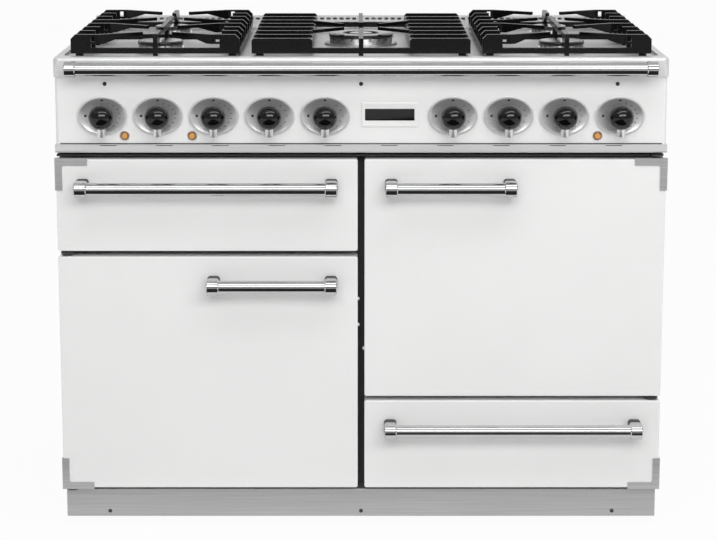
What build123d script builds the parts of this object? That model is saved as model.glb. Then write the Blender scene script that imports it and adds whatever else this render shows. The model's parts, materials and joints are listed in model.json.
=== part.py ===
"""Wide free-standing range cooker: gas hob, grill drawer, two ovens and a storage drawer.

Millimetres. The origin is on the floor under the middle of the cooker, +Z is up and the
fronts face -Y.
"""
import os
from math import sqrt

from build123d import *

os.makedirs("parts", exist_ok=True)

# Overall size: across the hob rim, and from the handle fronts to the back of the hob
OVERALL_W = 1092.0
OVERALL_D = 648.0

# Sheet metal and clearances
SKIN = 1.5
FRAME_T = 2.0
RUN_GAP = 0.3
SIDE_GAP = 4.0
SHAFT_GAP = 0.05

# Heights, from the floor up
PLINTH_LIFT = 18.0
PLINTH_H = 52.0
FRONT_LIFT = 7.0
FRONTS_H = 609.0
GRILL_FRONT_H = 167.0
DRAWER_FRONT_H = 165.0
LEFT_GAP = 10.0
RIGHT_GAP = 8.0
TRIM_GAP = 11.0
TRIM_H = 15.0
PANEL_H = 120.0
RIM_H = 36.0
GRID_RISE = 37.0

# Front layers, measured back from the door faces
HANDLE_REACH = 48.0
DOOR_T = 40.0
DOOR_GAP = 6.0
TRIM_SETBACK = 3.0
RIM_SETBACK = 6.0
PANEL_SETBACK = 10.0
PLINTH_SETBACK = 15.0
REAR_SPACE = 6.5

# Widths, measured in from the hob rim
RIM_PROUD = 2.0
SIDE_INSET = 1.0
PLINTH_INSET = 3.0
COLUMN_GAP = 12.0

# Folded fronts
FRONT_CORNER_R = 4.0
FRONT_EDGE_R = 2.5
FRONT_LIP = 20.0
LINER_T = 1.5
LINER_INSET = 3.0
PAD_H = 4.0
PAD_MARGIN = 18.0
PAD_R = 16.0

# Cabinet sheet work
SIDE_FLANGE = 18.0
BASE_FLANGE = 25.0
PLINTH_RETURN = 40.0
FLANGE_W = 20.0
APERTURE_R = 8.0
LOUVRE_L = 60.0
LOUVRE_H = 5.0
LOUVRE_GAP = 30.0
LOUVRE_PITCH = 14.0
LOUVRE_ROWS = 8
TERMINAL_W = 140.0
TERMINAL_H = 90.0
TERMINAL_T = 6.0

# Levelling feet
FOOT_PAD_D = 44.0
FOOT_PAD_H = 8.0
FOOT_CONE_H = 10.0
FOOT_STUD_D = 12.0
FOOT_STUD_ABOVE = 12.0
FOOT_NUT_AF = 24.0
FOOT_NUT_H = 8.0
FOOT_SIDE = 36.0
FOOT_DEPTH = 70.0

# Hinges
PIN_D = 8.0
PIN_SIDE = 15.0
PIN_BACK = 12.0
HINGE_PLATE_T = 3.0
HINGE_PLATE_W = 22.0
HINGE_OFFSET = 0.5
BUSH_D = 16.0
BUSH_L = 12.0

# Bar handles and the rail in front of the hob
BAR_D = 24.0
COLLAR_D = 29.0
COLLAR_L = 22.0
COLLAR_CHAMFER = 1.5
POST_W = 21.5
POST_H = 27.0
POST_R = 5.0
HANDLE_DROP = 49.0
LONG_HANDLE_L = 466.0
SHORT_HANDLE_L = 233.0
HANDLE_INSET = 37.0
RAIL_D = 24.4
RAIL_INSET = 25.0
RAIL_COLLAR_L = 20.0
RAIL_POST_D = 16.0
RAIL_REACH = 36.0

# Chrome corner caps
CAP_ARM = 58.0
CAP_W = 13.0
CAP_T = 2.0
CAP_WRAP = 7.0
CAP_R = 4.0

# Ovens
OVEN_W = 400.0
OVEN_D = 408.0
LEFT_OVEN_H = 350.0
RIGHT_OVEN_H = 360.0
OVEN_R = 12.0
WIRE_D = 5.0
WIRE_BEND = 14.0
WIRE_WELD = 0.8
PEG_D = 4.0
SHELF_FRAME_D = 6.0
SHELF_WIRE_D = 4.0
SHELF_WIRES = 11
LADDER_STAND = 4.0
SHELF_STEP = 2.0
LADDER_RUNGS = 5
LADDER_INSET = 60.0
SHELF_INSET = 20.0
FAN_COVER_W = 240.0
FAN_COVER_DEPTH = 42.0
FAN_COVER_R = 18.0
FAN_HOLE_D = 13.0
FAN_HOLES = 12
FAN_HOLE_RING = 46.0
FAN_D = 150.0
FAN_BLADES = 10
FAN_BLADE_H = 22.0
FAN_HUB_D = 26.0
FAN_BACK = 9.0
FAN_SHAFT_D = 8.0
FAN_SHAFT_L = 40.0
MOTOR_D = 72.0
MOTOR_L = 46.0

# Grill
GRILL_W = 450.0
GRILL_H = 132.0
GRILL_D = 360.0
LEDGE_W = 16.0
LEDGE_T = 3.0
PAN_D = 326.0
PAN_H = 38.0
PAN_LIFT = 60.0
TRIVET_H = 18.0
TRIVET_WIRE_D = 4.0
TRIVET_LEG_IN = 40.0
TRIVET_MARGIN = 14.0
TRIVET_WIRES = 9
ELEMENT_D = 7.0
ELEMENT_DROP = 18.0
ELEMENT_PASSES = 8
ELEMENT_MARGIN = 46.0
ELEMENT_BEND = 0.45  # share of the pitch

# Storage drawer
DRAWER_W = 460.0
DRAWER_D = 430.0
DRAWER_H = 105.0
DRAWER_LIFT = 18.0
RUNNER_W = 24.0
RUNNER_INSET = 34.0

# Control panel
PANEL_R = 8.0
KNOB_END = 84.0
KNOB_PITCH = 99.0
LEFT_KNOBS = 5
RIGHT_KNOBS = 4
GAS_KNOBS = (4, 5, 6, 7, 8)
KNOB_LIFT = 51.0
PANEL_HOLE_D = 14.0
BEZEL_W = 88.0
BEZEL_H = 68.0
BEZEL_T = 6.0
BEZEL_RIM = 3.0
BEZEL_FLOOR = 1.5
BEZEL_FLOOR_W = 34.0
BEZEL_WAIST = 0.4  # share of the way from the floor's edge to the rim
BEZEL_WAIST_RISE = 1.1
BEZEL_BORE = 24.0
LAMP_D = 15.0
LAMP_STUD_D = 11.0
LAMP_STUD_L = 14.0
LAMP_RISE = 5.5
LAMP_DOME_R = 4.0
LAMP_SIDE = 39.0
LAMP_DROP = 36.0
TRIM_SLOT_W = 29.0
TRIM_SLOT_H = 2.5
TRIM_SLOT_PITCH = 100.0
TRIM_SLOTS = 10
TRIM_R = 3.5

# Knobs
BALL_D = 44.0
BALL_CUT = 8.0
BALL_STAND = 11.0
NECK_D = 20.0
NECK_L = 3.0
POINTER_D = 12.6
POINTER_REACH = 12.5
POINTER_CHAMFER = 1.2
SPINDLE_D = 8.0
SPINDLE_GRIP = 14.0
KNOB_TRAVEL = 3.5
BORE_SPARE = 2.0
SWITCH_SHAFT_D = 6.0

# Taps, switches and pipes behind the panel
TAP_W = 32.0
TAP_H = 38.0
TAP_NECK_D = 22.0
TAP_NECK_L = 14.0
TAP_REACH = 72.0
SPINDLE_BURY = 30.0
SWITCH_W = 42.0
SWITCH_L = 30.0
SWITCH_BURY = 14.0
MANIFOLD_D = 22.0
MANIFOLD_R = 36.0
MANIFOLD_SIDE = 44.0
MANIFOLD_END = 26.0
INLET_AF = 27.0
INLET_BORE = 15.0
INLET_DEPTH = 24.0
FEED_D = 8.0
FEED_R = 10.0
FEED_SETBACK = 44.0

# Hob
RIM_R = 7.0
RIM_CORNER = 10.0
HOB_LIP = 14.0
WELL_DEPTH = 6.0
WELL_SIDE = 16.0
WELL_FRONT = 18.0
WELL_R = 20.0
VENT_D = 22.0
VENT_H = 19.0
VENT_LEDGE = 40.0
VENT_SLOT_W = 8.0
VENT_SLOT_H = 4.0
VENT_SLOT_DROP = 5.0
VENT_PITCH = 13.0
VENT_END = 40.0

# Burners
FRONT_BURNER_D = 80.0
REAR_BURNER_D = 66.0
WOK_BURNER_D = 118.0
WOK_RING_W = 24.0
WOK_CENTRE_D = 42.0
BURNER_SKIRT = 9.0
BURNER_SKIRT_H = 4.0
BURNER_CROWN_H = 15.0
BURNER_CAP_H = 7.0
BURNER_CAP_LAP = 1.5
BURNER_CAP_EDGE = 2.0
BURNER_STEM_D = 36.0
BURNER_STEM_L = 16.0
PORTS = 20
PORT_W = 2.4
PORT_H = 5.0
PORT_DEPTH = 6.0

# Pan supports
GRID_FRONT = 29.0
GRID_D = 490.0
GRID_SIDE = 29.0
SIDE_GRID_W = 301.0
GRID_GAP = 21.0
GRID_BARS = 8
BAR_T = 8.0
GRID_FRAME_W = 10.0
GRID_FRAME_H = 10.0
GRID_FOOT_H = 9.0
GRID_FOOT_W = 14.0
GRID_CORNER = 12.0
TOOTH_L = 36.0
FINGER_NECK = 14.0
FINGER_DEPTH = 17.0
FINGER_HOLD = 8.0
FINGER_TAPER = 46.0
FINGER_TIP = 6.0
FINGER_ROUND = 8.0
FINGER_CLEAR = 28.0
FINGER_AIM = 58.0
FINGERED_BARS = (0, 3, 4, 7)
ROOT_SLOT_W = 7.0
ROOT_SLOT_H = 10.0
ROOT_SLOT_DROP = 3.2
SPINE_POST = 24.0
SPINE_ROOT = 24.0
SPINE_FOOT = 12.0
SPINE_ARCH = 40.0
SPINE_ARCH_H = 6.0
MID_DROP = 7.0
WOK_ROOM = 26.5
MID_RIB_H = 17.0
MID_EDGE = 4.0
WOK_CLEAR = 52.0

# Levels and planes worked out from the sizes above
HALF_W = OVERALL_W / 2
BODY_X = HALF_W - RIM_PROUD
SIDE_X = BODY_X - SIDE_INSET
BACK_Y = OVERALL_D / 2
FRONT_Y = HANDLE_REACH - BACK_Y
FRAME_Y = FRONT_Y + DOOR_T + DOOR_GAP
CHASSIS_Y = FRAME_Y + FRAME_T
REAR_Y = BACK_Y - REAR_SPACE - SKIN
TRIM_Y = FRONT_Y + TRIM_SETBACK
RIM_Y = FRONT_Y + RIM_SETBACK
PANEL_Y = FRONT_Y + PANEL_SETBACK
PLINTH_Y = FRONT_Y + PLINTH_SETBACK
LINER_Y = FRONT_Y + DOOR_T - LINER_T

BASE_Z = PLINTH_LIFT + PLINTH_H
FRONT_Z0 = BASE_Z + FRONT_LIFT
FRONT_Z1 = FRONT_Z0 + FRONTS_H
LEFT_DOOR_Z1 = FRONT_Z1 - GRILL_FRONT_H - LEFT_GAP
GRILL_Z0 = FRONT_Z1 - GRILL_FRONT_H
DRAWER_Z1 = FRONT_Z0 + DRAWER_FRONT_H
RIGHT_DOOR_Z0 = DRAWER_Z1 + RIGHT_GAP
TRIM_Z = FRONT_Z1 + TRIM_GAP
PANEL_Z = TRIM_Z + TRIM_H
RIM_Z = PANEL_Z + PANEL_H
RIM_TOP = RIM_Z + RIM_H
WELL_Z = RIM_TOP - WELL_DEPTH
GRID_TOP = RIM_TOP + GRID_RISE
KNOB_Z = PANEL_Z + KNOB_LIFT

COLUMN_X = (BODY_X + COLUMN_GAP / 2) / 2
LEFT_X = (-BODY_X, -COLUMN_GAP / 2)
RIGHT_X = (COLUMN_GAP / 2, BODY_X)
OVEN_BACK = CHASSIS_Y + OVEN_D
LEFT_OVEN_Z = (FRONT_Z0 + LEFT_DOOR_Z1 - LEFT_OVEN_H) / 2
RIGHT_OVEN_Z = (RIGHT_DOOR_Z0 + FRONT_Z1 - RIGHT_OVEN_H) / 2
GRILL_CHAMBER_Z = (GRILL_Z0 + FRONT_Z1 - GRILL_H) / 2
DRAWER_Z = FRONT_Z0 + DRAWER_LIFT
OVENS = ((-COLUMN_X, LEFT_OVEN_Z, LEFT_OVEN_H), (COLUMN_X, RIGHT_OVEN_Z, RIGHT_OVEN_H))

KNOB_X = [-BODY_X + KNOB_END + i * KNOB_PITCH for i in range(LEFT_KNOBS)]
KNOB_X += [BODY_X - KNOB_END - i * KNOB_PITCH for i in reversed(range(RIGHT_KNOBS))]
GAS_X = [KNOB_X[number - 1] for number in GAS_KNOBS]
SWITCH_X = [x for x in KNOB_X if x not in GAS_X]
LAMP_X = (KNOB_X[0] + LAMP_SIDE, KNOB_X[2] - LAMP_SIDE, KNOB_X[-1] - LAMP_SIDE)
PANEL_IN = PANEL_Y + SKIN

GRID_Y0 = RIM_Y + GRID_FRONT
GRID_YC = GRID_Y0 + GRID_D / 2
BAR_PITCH = (GRID_D - BAR_T) / (GRID_BARS - 1)
SIDE_GRID_X = HALF_W - GRID_SIDE - SIDE_GRID_W / 2
MID_HALF = SIDE_GRID_X - SIDE_GRID_W / 2 - GRID_GAP
GRID_Z0 = WELL_Z + GRID_FOOT_H
GRID_Z1 = GRID_Z0 + GRID_FRAME_H
MID_TOP = GRID_TOP - MID_DROP
BURNER_DY = 2 * BAR_PITCH
VENT_Y = BACK_Y - VENT_D
VENT_TOP = RIM_TOP + VENT_H
WELL_BACK = VENT_Y - VENT_LEDGE
CROWN_Z = WELL_Z + BURNER_CROWN_H
STEM_Z = WELL_Z - BURNER_STEM_L
BURNERS = (
    (-SIDE_GRID_X, GRID_YC + BURNER_DY, REAR_BURNER_D),
    (-SIDE_GRID_X, GRID_YC - BURNER_DY, FRONT_BURNER_D),
    (0.0, GRID_YC, WOK_BURNER_D),
    (SIDE_GRID_X, GRID_YC + BURNER_DY, REAR_BURNER_D),
    (SIDE_GRID_X, GRID_YC - BURNER_DY, FRONT_BURNER_D),
)


STANDING = (Align.CENTER, Align.CENTER, Align.MIN)


def facing(y):
    """Sketch plane that faces the front at a given depth: its axes are X and Z."""
    return Plane.XZ.offset(-y)


def block(x, y, z, mode=Mode.ADD):
    """Rectangular block between two ends on each axis."""
    spans = [sorted(span) for span in (x, y, z)]
    with Locations(tuple((low + high) / 2 for low, high in spans)):
        Box(*(high - low for low, high in spans), mode=mode)


def rod(start, end, diameter, mode=Mode.ADD):
    """Round bar from one point to another."""
    run = Vector(*end) - Vector(*start)
    with Locations(Plane(origin=start, z_dir=run)):
        Cylinder(diameter / 2, run.length, align=STANDING, mode=mode)


def wire_loop(x, y, z, diameter):
    """Flat closed loop of wire with bent corners."""
    corners = [(x[0], y[0], z), (x[1], y[0], z), (x[1], y[1], z), (x[0], y[1], z)]
    with BuildLine() as loop:
        FilletPolyline(*corners, radius=WIRE_BEND, close=True)
    with BuildSketch(Plane(origin=loop.line @ 0, z_dir=loop.line % 0)) as section:
        Circle(diameter / 2)
    sweep(section.sketch, path=loop.wire())


def chamfer_collars(bar):
    """Break the sharp rims of the collars on a bar."""
    circles = bar.edges().filter_by(GeomType.CIRCLE)
    chamfer(circles.filter_by(lambda edge: edge.radius > COLLAR_D / 2 - RUN_GAP), COLLAR_CHAMFER)


def save(piece, name):
    """Label a finished piece and write it to a file of its own."""
    piece.label = name
    export_step(piece, f"parts/{name}.step")


# Base tray with the two drawer runners
FEET = [
    (side * (SIDE_X - FOOT_SIDE), y)
    for side in (-1, 1)
    for y in (CHASSIS_Y + FOOT_DEPTH, REAR_Y - FOOT_DEPTH)
]
RUNNER_X = [COLUMN_X + side * (DRAWER_W / 2 - RUNNER_INSET) for side in (-1, 1)]
RUNNER_TOP = DRAWER_Z - RUN_GAP
BASE_X = SIDE_X - SKIN
BASE_Y = (CHASSIS_Y + SKIN, REAR_Y - SKIN)
DRAWER_BACK = LINER_Y + LINER_T + DRAWER_D

with BuildPart() as base_tray:
    block((-BASE_X, BASE_X), BASE_Y, (BASE_Z, BASE_Z + BASE_FLANGE))
    block(
        (SKIN - BASE_X, BASE_X - SKIN),
        (BASE_Y[0] - SKIN, BASE_Y[1] - SKIN),
        (BASE_Z + SKIN, BASE_Z + BASE_FLANGE),
        Mode.SUBTRACT,
    )
    for x in RUNNER_X:
        block((x - RUNNER_W / 2, x + RUNNER_W / 2), (BASE_Y[0], DRAWER_BACK), (BASE_Z, RUNNER_TOP))
        block(
            (x - RUNNER_W / 2 + SKIN, x + RUNNER_W / 2 - SKIN),
            (BASE_Y[0], DRAWER_BACK),
            (BASE_Z + SKIN, RUNNER_TOP - SKIN),
            Mode.SUBTRACT,
        )
    for x, y in FEET:
        rod((x, y, BASE_Z), (x, y, BASE_Z + SKIN), FOOT_STUD_D + 2 * RUN_GAP, Mode.SUBTRACT)
save(base_tray.part, "base_tray")

with BuildPart() as levelling_feet:
    for x, y in FEET:
        rod((x, y, 0), (x, y, FOOT_PAD_H), FOOT_PAD_D)
        rod((x, y, 0), (x, y, BASE_Z + FOOT_STUD_ABOVE), FOOT_STUD_D)
        with Locations((x, y, FOOT_PAD_H)):
            Cone(FOOT_PAD_D / 2, FOOT_STUD_D / 2, FOOT_CONE_H, align=STANDING)
    with BuildSketch(Plane.XY.offset(BASE_Z - FOOT_NUT_H)):
        with Locations(*FEET):
            RegularPolygon(FOOT_NUT_AF / 2, 6, major_radius=False)
    extrude(amount=FOOT_NUT_H)
save(levelling_feet.part, "levelling_feet")

# Outer sheet work
with BuildPart() as side_panels:
    for side in (-1, 1):
        inner = side * (SIDE_X - SIDE_FLANGE)
        block((inner, side * SIDE_X), (CHASSIS_Y, REAR_Y), (BASE_Z, RIM_Z))
        block(
            (inner, side * (SIDE_X - SKIN)),
            (CHASSIS_Y + SKIN, REAR_Y - SKIN),
            (BASE_Z, RIM_Z),
            Mode.SUBTRACT,
        )
save(side_panels.part, "side_panels")

INLET_X = SIDE_X - MANIFOLD_SIDE
with BuildPart() as rear_panel:
    with BuildSketch(facing(REAR_Y)):
        with Locations((0, (BASE_Z + RIM_Z) / 2)):
            Rectangle(2 * SIDE_X, RIM_Z - BASE_Z)
        for x, z, height in OVENS:
            with Locations((x, z + height / 2)):
                with GridLocations(LOUVRE_L + LOUVRE_GAP, LOUVRE_PITCH, 2, LOUVRE_ROWS):
                    SlotOverall(LOUVRE_L, LOUVRE_H, mode=Mode.SUBTRACT)
        with Locations((INLET_X, KNOB_Z)):
            Circle(MANIFOLD_D / 2 + RUN_GAP, mode=Mode.SUBTRACT)
    extrude(amount=-SKIN)
    with BuildSketch(facing(REAR_Y + SKIN)):
        with Locations((-INLET_X + TERMINAL_W / 2, KNOB_Z)):
            RectangleRounded(TERMINAL_W, TERMINAL_H, APERTURE_R)
    extrude(amount=-TERMINAL_T)
save(rear_panel.part, "rear_panel")

APERTURES = [(x, z + height / 2, OVEN_W, height) for x, z, height in OVENS]
APERTURES.append((-COLUMN_X, GRILL_CHAMBER_Z + GRILL_H / 2, GRILL_W, GRILL_H))
APERTURES.append((COLUMN_X, DRAWER_Z + DRAWER_H / 2, DRAWER_W + 2 * SIDE_GAP, DRAWER_H + 2 * SIDE_GAP))
with BuildPart() as front_frame:
    with BuildSketch(facing(FRAME_Y)):
        with Locations((0, (BASE_Z + PANEL_Z) / 2)):
            Rectangle(2 * SIDE_X, PANEL_Z - BASE_Z)
        for x, z, width, height in APERTURES:
            with Locations((x, z)):
                Rectangle(width, height, mode=Mode.SUBTRACT)
    extrude(amount=-FRAME_T)
save(front_frame.part, "front_frame")

with BuildPart() as plinth:
    plinth_x = BODY_X - PLINTH_INSET
    plinth_back = CHASSIS_Y + PLINTH_RETURN
    block((-plinth_x, plinth_x), (PLINTH_Y, plinth_back), (PLINTH_LIFT, BASE_Z))
    block(
        (SKIN - plinth_x, plinth_x - SKIN),
        (PLINTH_Y + SKIN, plinth_back),
        (PLINTH_LIFT, BASE_Z - SKIN),
        Mode.SUBTRACT,
    )
save(plinth.part, "plinth")


# Hob
def rim_body(inset):
    """Rounded body of the hob rim, drawn in on every side by the inset."""
    with BuildPart() as rim:
        with BuildSketch(Plane.XY.offset(RIM_Z + inset)):
            with Locations((0, (RIM_Y + BACK_Y) / 2)):
                RectangleRounded(OVERALL_W - 2 * inset, BACK_Y - RIM_Y - 2 * inset, RIM_CORNER - inset)
        extrude(amount=RIM_H - 2 * inset)
        fillet(rim.edges().group_by(Axis.Z)[-1], RIM_R - inset)
    return rim.part


def hob_well(inset):
    """Pressed well that holds the burners, let out on every side by the inset."""
    with BuildPart() as well:
        with BuildSketch(Plane.XY.offset(WELL_Z - inset)):
            with Locations((0, (RIM_Y + WELL_FRONT + WELL_BACK) / 2)):
                RectangleRounded(
                    OVERALL_W - 2 * WELL_SIDE + 2 * inset,
                    WELL_BACK - RIM_Y - WELL_FRONT + 2 * inset,
                    WELL_R + inset,
                )
        extrude(amount=WELL_DEPTH + inset)
    return well.part


VENT_X = HALF_W - RIM_CORNER
with BuildPart() as hob_hollow:
    add(rim_body(SKIN))
    block((SKIN - VENT_X, VENT_X - SKIN), (VENT_Y + SKIN, BACK_Y - SKIN), (RIM_Z + SKIN, VENT_TOP - SKIN))
    block(
        (HOB_LIP - HALF_W, HALF_W - HOB_LIP),
        (RIM_Y + HOB_LIP, BACK_Y - HOB_LIP),
        (RIM_Z, RIM_Z + RIM_H / 2),
    )
    add(hob_well(SKIN), mode=Mode.SUBTRACT)

with BuildPart() as hob_tray:
    add(rim_body(0))
    block((-VENT_X, VENT_X), (VENT_Y, BACK_Y), (RIM_TOP - RIM_R, VENT_TOP))
    add(hob_well(0), mode=Mode.SUBTRACT)
    add(hob_hollow.part, mode=Mode.SUBTRACT)
    for x, y, diameter in BURNERS:
        rod((x, y, WELL_Z - SKIN), (x, y, WELL_Z), BURNER_STEM_D + 2 * RUN_GAP, Mode.SUBTRACT)
    vent_slots = int((2 * VENT_X - VENT_END) / VENT_PITCH)
    with BuildSketch(facing(VENT_Y)):
        with Locations((0, VENT_TOP - VENT_SLOT_DROP)):
            with GridLocations(VENT_PITCH, VENT_PITCH, vent_slots, 1):
                Rectangle(VENT_SLOT_W, VENT_SLOT_H)
    extrude(amount=-SKIN, mode=Mode.SUBTRACT)
save(hob_tray.part, "hob_tray")

with BuildPart() as burner_bases:
    for x, y, diameter in BURNERS:
        rod((x, y, WELL_Z), (x, y, WELL_Z + BURNER_SKIRT_H), diameter + 2 * BURNER_SKIRT)
        rod((x, y, WELL_Z), (x, y, CROWN_Z), diameter)
        rod((x, y, STEM_Z), (x, y, WELL_Z), BURNER_STEM_D)
        if diameter == WOK_BURNER_D:
            well_floor = WELL_Z + BURNER_SKIRT_H
            rod((x, y, well_floor), (x, y, CROWN_Z), diameter - 2 * WOK_RING_W, Mode.SUBTRACT)
            rod((x, y, well_floor), (x, y, CROWN_Z), WOK_CENTRE_D)
    with BuildSketch(Plane.XY.offset(CROWN_Z - PORT_H)):
        for x, y, diameter in BURNERS:
            with Locations((x, y)):
                with PolarLocations((diameter - PORT_DEPTH) / 2, PORTS):
                    Rectangle(PORT_DEPTH, PORT_W)
    extrude(amount=PORT_H, mode=Mode.SUBTRACT)
save(burner_bases.part, "burner_bases")

with BuildPart() as burner_caps:
    for x, y, diameter in BURNERS:
        lid_top = CROWN_Z + BURNER_CAP_H
        rod((x, y, CROWN_Z), (x, y, lid_top), diameter + 2 * BURNER_CAP_LAP)
        if diameter == WOK_BURNER_D:
            ring_bore = diameter - 2 * WOK_RING_W - 2 * BURNER_CAP_LAP
            rod((x, y, CROWN_Z), (x, y, lid_top), ring_bore, Mode.SUBTRACT)
            rod((x, y, CROWN_Z), (x, y, lid_top), WOK_CENTRE_D + 2 * BURNER_CAP_LAP)
    chamfer(burner_caps.edges().group_by(Axis.Z)[-1], BURNER_CAP_EDGE)
save(burner_caps.part, "burner_caps")


# Cast pan supports
def tooth(x_mid, y, side):
    """Block at the edge of a side support, with its outer top corner cut back."""
    edge = x_mid + side * SIDE_GRID_W / 2
    outline = [
        (0, GRID_Z0),
        (0, GRID_TOP - FINGER_ROUND),
        (FINGER_ROUND, GRID_TOP),
        (TOOTH_L, GRID_TOP),
        (TOOTH_L, GRID_Z0),
    ]
    with BuildSketch(facing(y)) as profile:
        with BuildLine():
            Polyline(*((edge - side * inward, z) for inward, z in outline), close=True)
        make_face()
    extrude(profile.sketch, amount=-BAR_T)


def finger(x_mid, y, side, burner_y):
    """Finger from a tooth towards a burner: a slotted neck, then a taper to a thin tip."""
    root = x_mid + side * (SIDE_GRID_W / 2 - TOOTH_L)
    neck = root - side * FINGER_NECK
    slot_top = GRID_TOP - ROOT_SLOT_DROP
    block((root, neck), (y, y + BAR_T), (GRID_TOP - FINGER_DEPTH, GRID_TOP))
    block(
        (root, root - side * ROOT_SLOT_W),
        (y, y + BAR_T),
        (slot_top - ROOT_SLOT_H, slot_top),
        Mode.SUBTRACT,
    )
    start = Vector(neck, y + BAR_T / 2)
    short_of = -FINGER_AIM if start.Y < burner_y else FINGER_AIM
    run = Vector(x_mid + side * FINGER_CLEAR, burner_y + short_of) - start
    outline = [
        (-BAR_T / 2, GRID_TOP - FINGER_DEPTH),
        (-BAR_T / 2, GRID_TOP),
        (run.length, GRID_TOP),
        (run.length, GRID_TOP - FINGER_TIP),
        (FINGER_TAPER, GRID_TOP - FINGER_TIP),
        (FINGER_HOLD, GRID_TOP - FINGER_DEPTH),
    ]
    with BuildSketch(Plane(origin=start, x_dir=run, z_dir=(run.Y, -run.X, 0))) as profile:
        with BuildLine():
            Polyline(*outline, close=True)
        make_face()
    extrude(profile.sketch, amount=BAR_T / 2, both=True)


def spine_finger(x_mid, side, top):
    """End of the centre bar: it stands on a foot at the edge and points at the burner."""
    edge = GRID_YC + side * GRID_D / 2
    reach = GRID_D / 2 - BURNER_DY - FINGER_CLEAR
    outline = [
        (0, WELL_Z),
        (0, top - FINGER_ROUND),
        (FINGER_ROUND, top),
        (reach, top),
        (reach, top - FINGER_TIP),
        (SPINE_ROOT, GRID_Z1),
        (SPINE_ROOT, GRID_Z0),
        (SPINE_FOOT, GRID_Z0),
        (SPINE_FOOT, WELL_Z),
    ]
    with BuildSketch(Plane.YZ.offset(x_mid - BAR_T / 2)) as profile:
        with BuildLine():
            Polyline(*((edge - side * inward, z) for inward, z in outline), close=True)
        make_face()
    extrude(profile.sketch, amount=BAR_T)


def low_frame(x_mid, width):
    """Low ring round a support, on four corner feet."""
    with BuildSketch(Plane.XY.offset(GRID_Z0)) as ring:
        with Locations((x_mid, GRID_YC)):
            RectangleRounded(width, GRID_D, GRID_CORNER)
            RectangleRounded(
                width - 2 * GRID_FRAME_W,
                GRID_D - 2 * GRID_FRAME_W,
                GRID_CORNER - GRID_FRAME_W / 2,
                mode=Mode.SUBTRACT,
            )
    extrude(ring.sketch, amount=GRID_FRAME_H)
    foot_x = width - 2 * GRID_FOOT_W
    foot_y = GRID_D - 2 * GRID_FOOT_W
    with BuildSketch(Plane.XY.offset(WELL_Z)) as feet:
        with Locations((x_mid, GRID_YC)):
            with GridLocations(foot_x, foot_y, 2, 2):
                Circle(GRID_FOOT_W / 2)
    extrude(feet.sketch, amount=GRID_FOOT_H + GRID_FRAME_H)


def side_support(x_mid):
    """Support over two burners: toothed edges, fingers round each burner and a centre bar."""
    with BuildPart() as grid:
        low_frame(x_mid, SIDE_GRID_W)
        for bar in range(GRID_BARS):
            y = GRID_Y0 + bar * BAR_PITCH
            burner_y = GRID_YC - BURNER_DY if bar < GRID_BARS / 2 else GRID_YC + BURNER_DY
            for side in (-1, 1):
                tooth(x_mid, y, side)
                if bar in FINGERED_BARS:
                    finger(x_mid, y, side, burner_y)
        for side in (-1, 1):
            spine_finger(x_mid, side, GRID_TOP)
        half_w = SIDE_GRID_W / 2 - GRID_FRAME_W / 2
        block(
            (x_mid - half_w, x_mid + half_w),
            (GRID_YC - GRID_FRAME_W / 2, GRID_YC + GRID_FRAME_W / 2),
            (GRID_Z0, GRID_Z1),
        )
        block(
            (x_mid - BAR_T / 2, x_mid + BAR_T / 2),
            (GRID_YC - SPINE_POST / 2, GRID_YC + SPINE_POST / 2),
            (GRID_Z0, GRID_TOP),
        )
        half = BURNER_DY - FINGER_CLEAR
        outline = [
            (-half, GRID_TOP),
            (half, GRID_TOP),
            (half, GRID_TOP - FINGER_TIP),
            (half - SPINE_ARCH, GRID_TOP - FINGER_TIP - SPINE_ARCH_H),
            (SPINE_ARCH - half, GRID_TOP - FINGER_TIP - SPINE_ARCH_H),
            (-half, GRID_TOP - FINGER_TIP),
        ]
        with BuildSketch(Plane.YZ.offset(x_mid - BAR_T / 2)):
            with BuildLine():
                Polyline(*((GRID_YC + along, z) for along, z in outline), close=True)
            make_face()
        extrude(amount=BAR_T)
    return grid.part


save(side_support(-SIDE_GRID_X), "pan_support_left")
save(side_support(SIDE_GRID_X), "pan_support_right")

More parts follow.
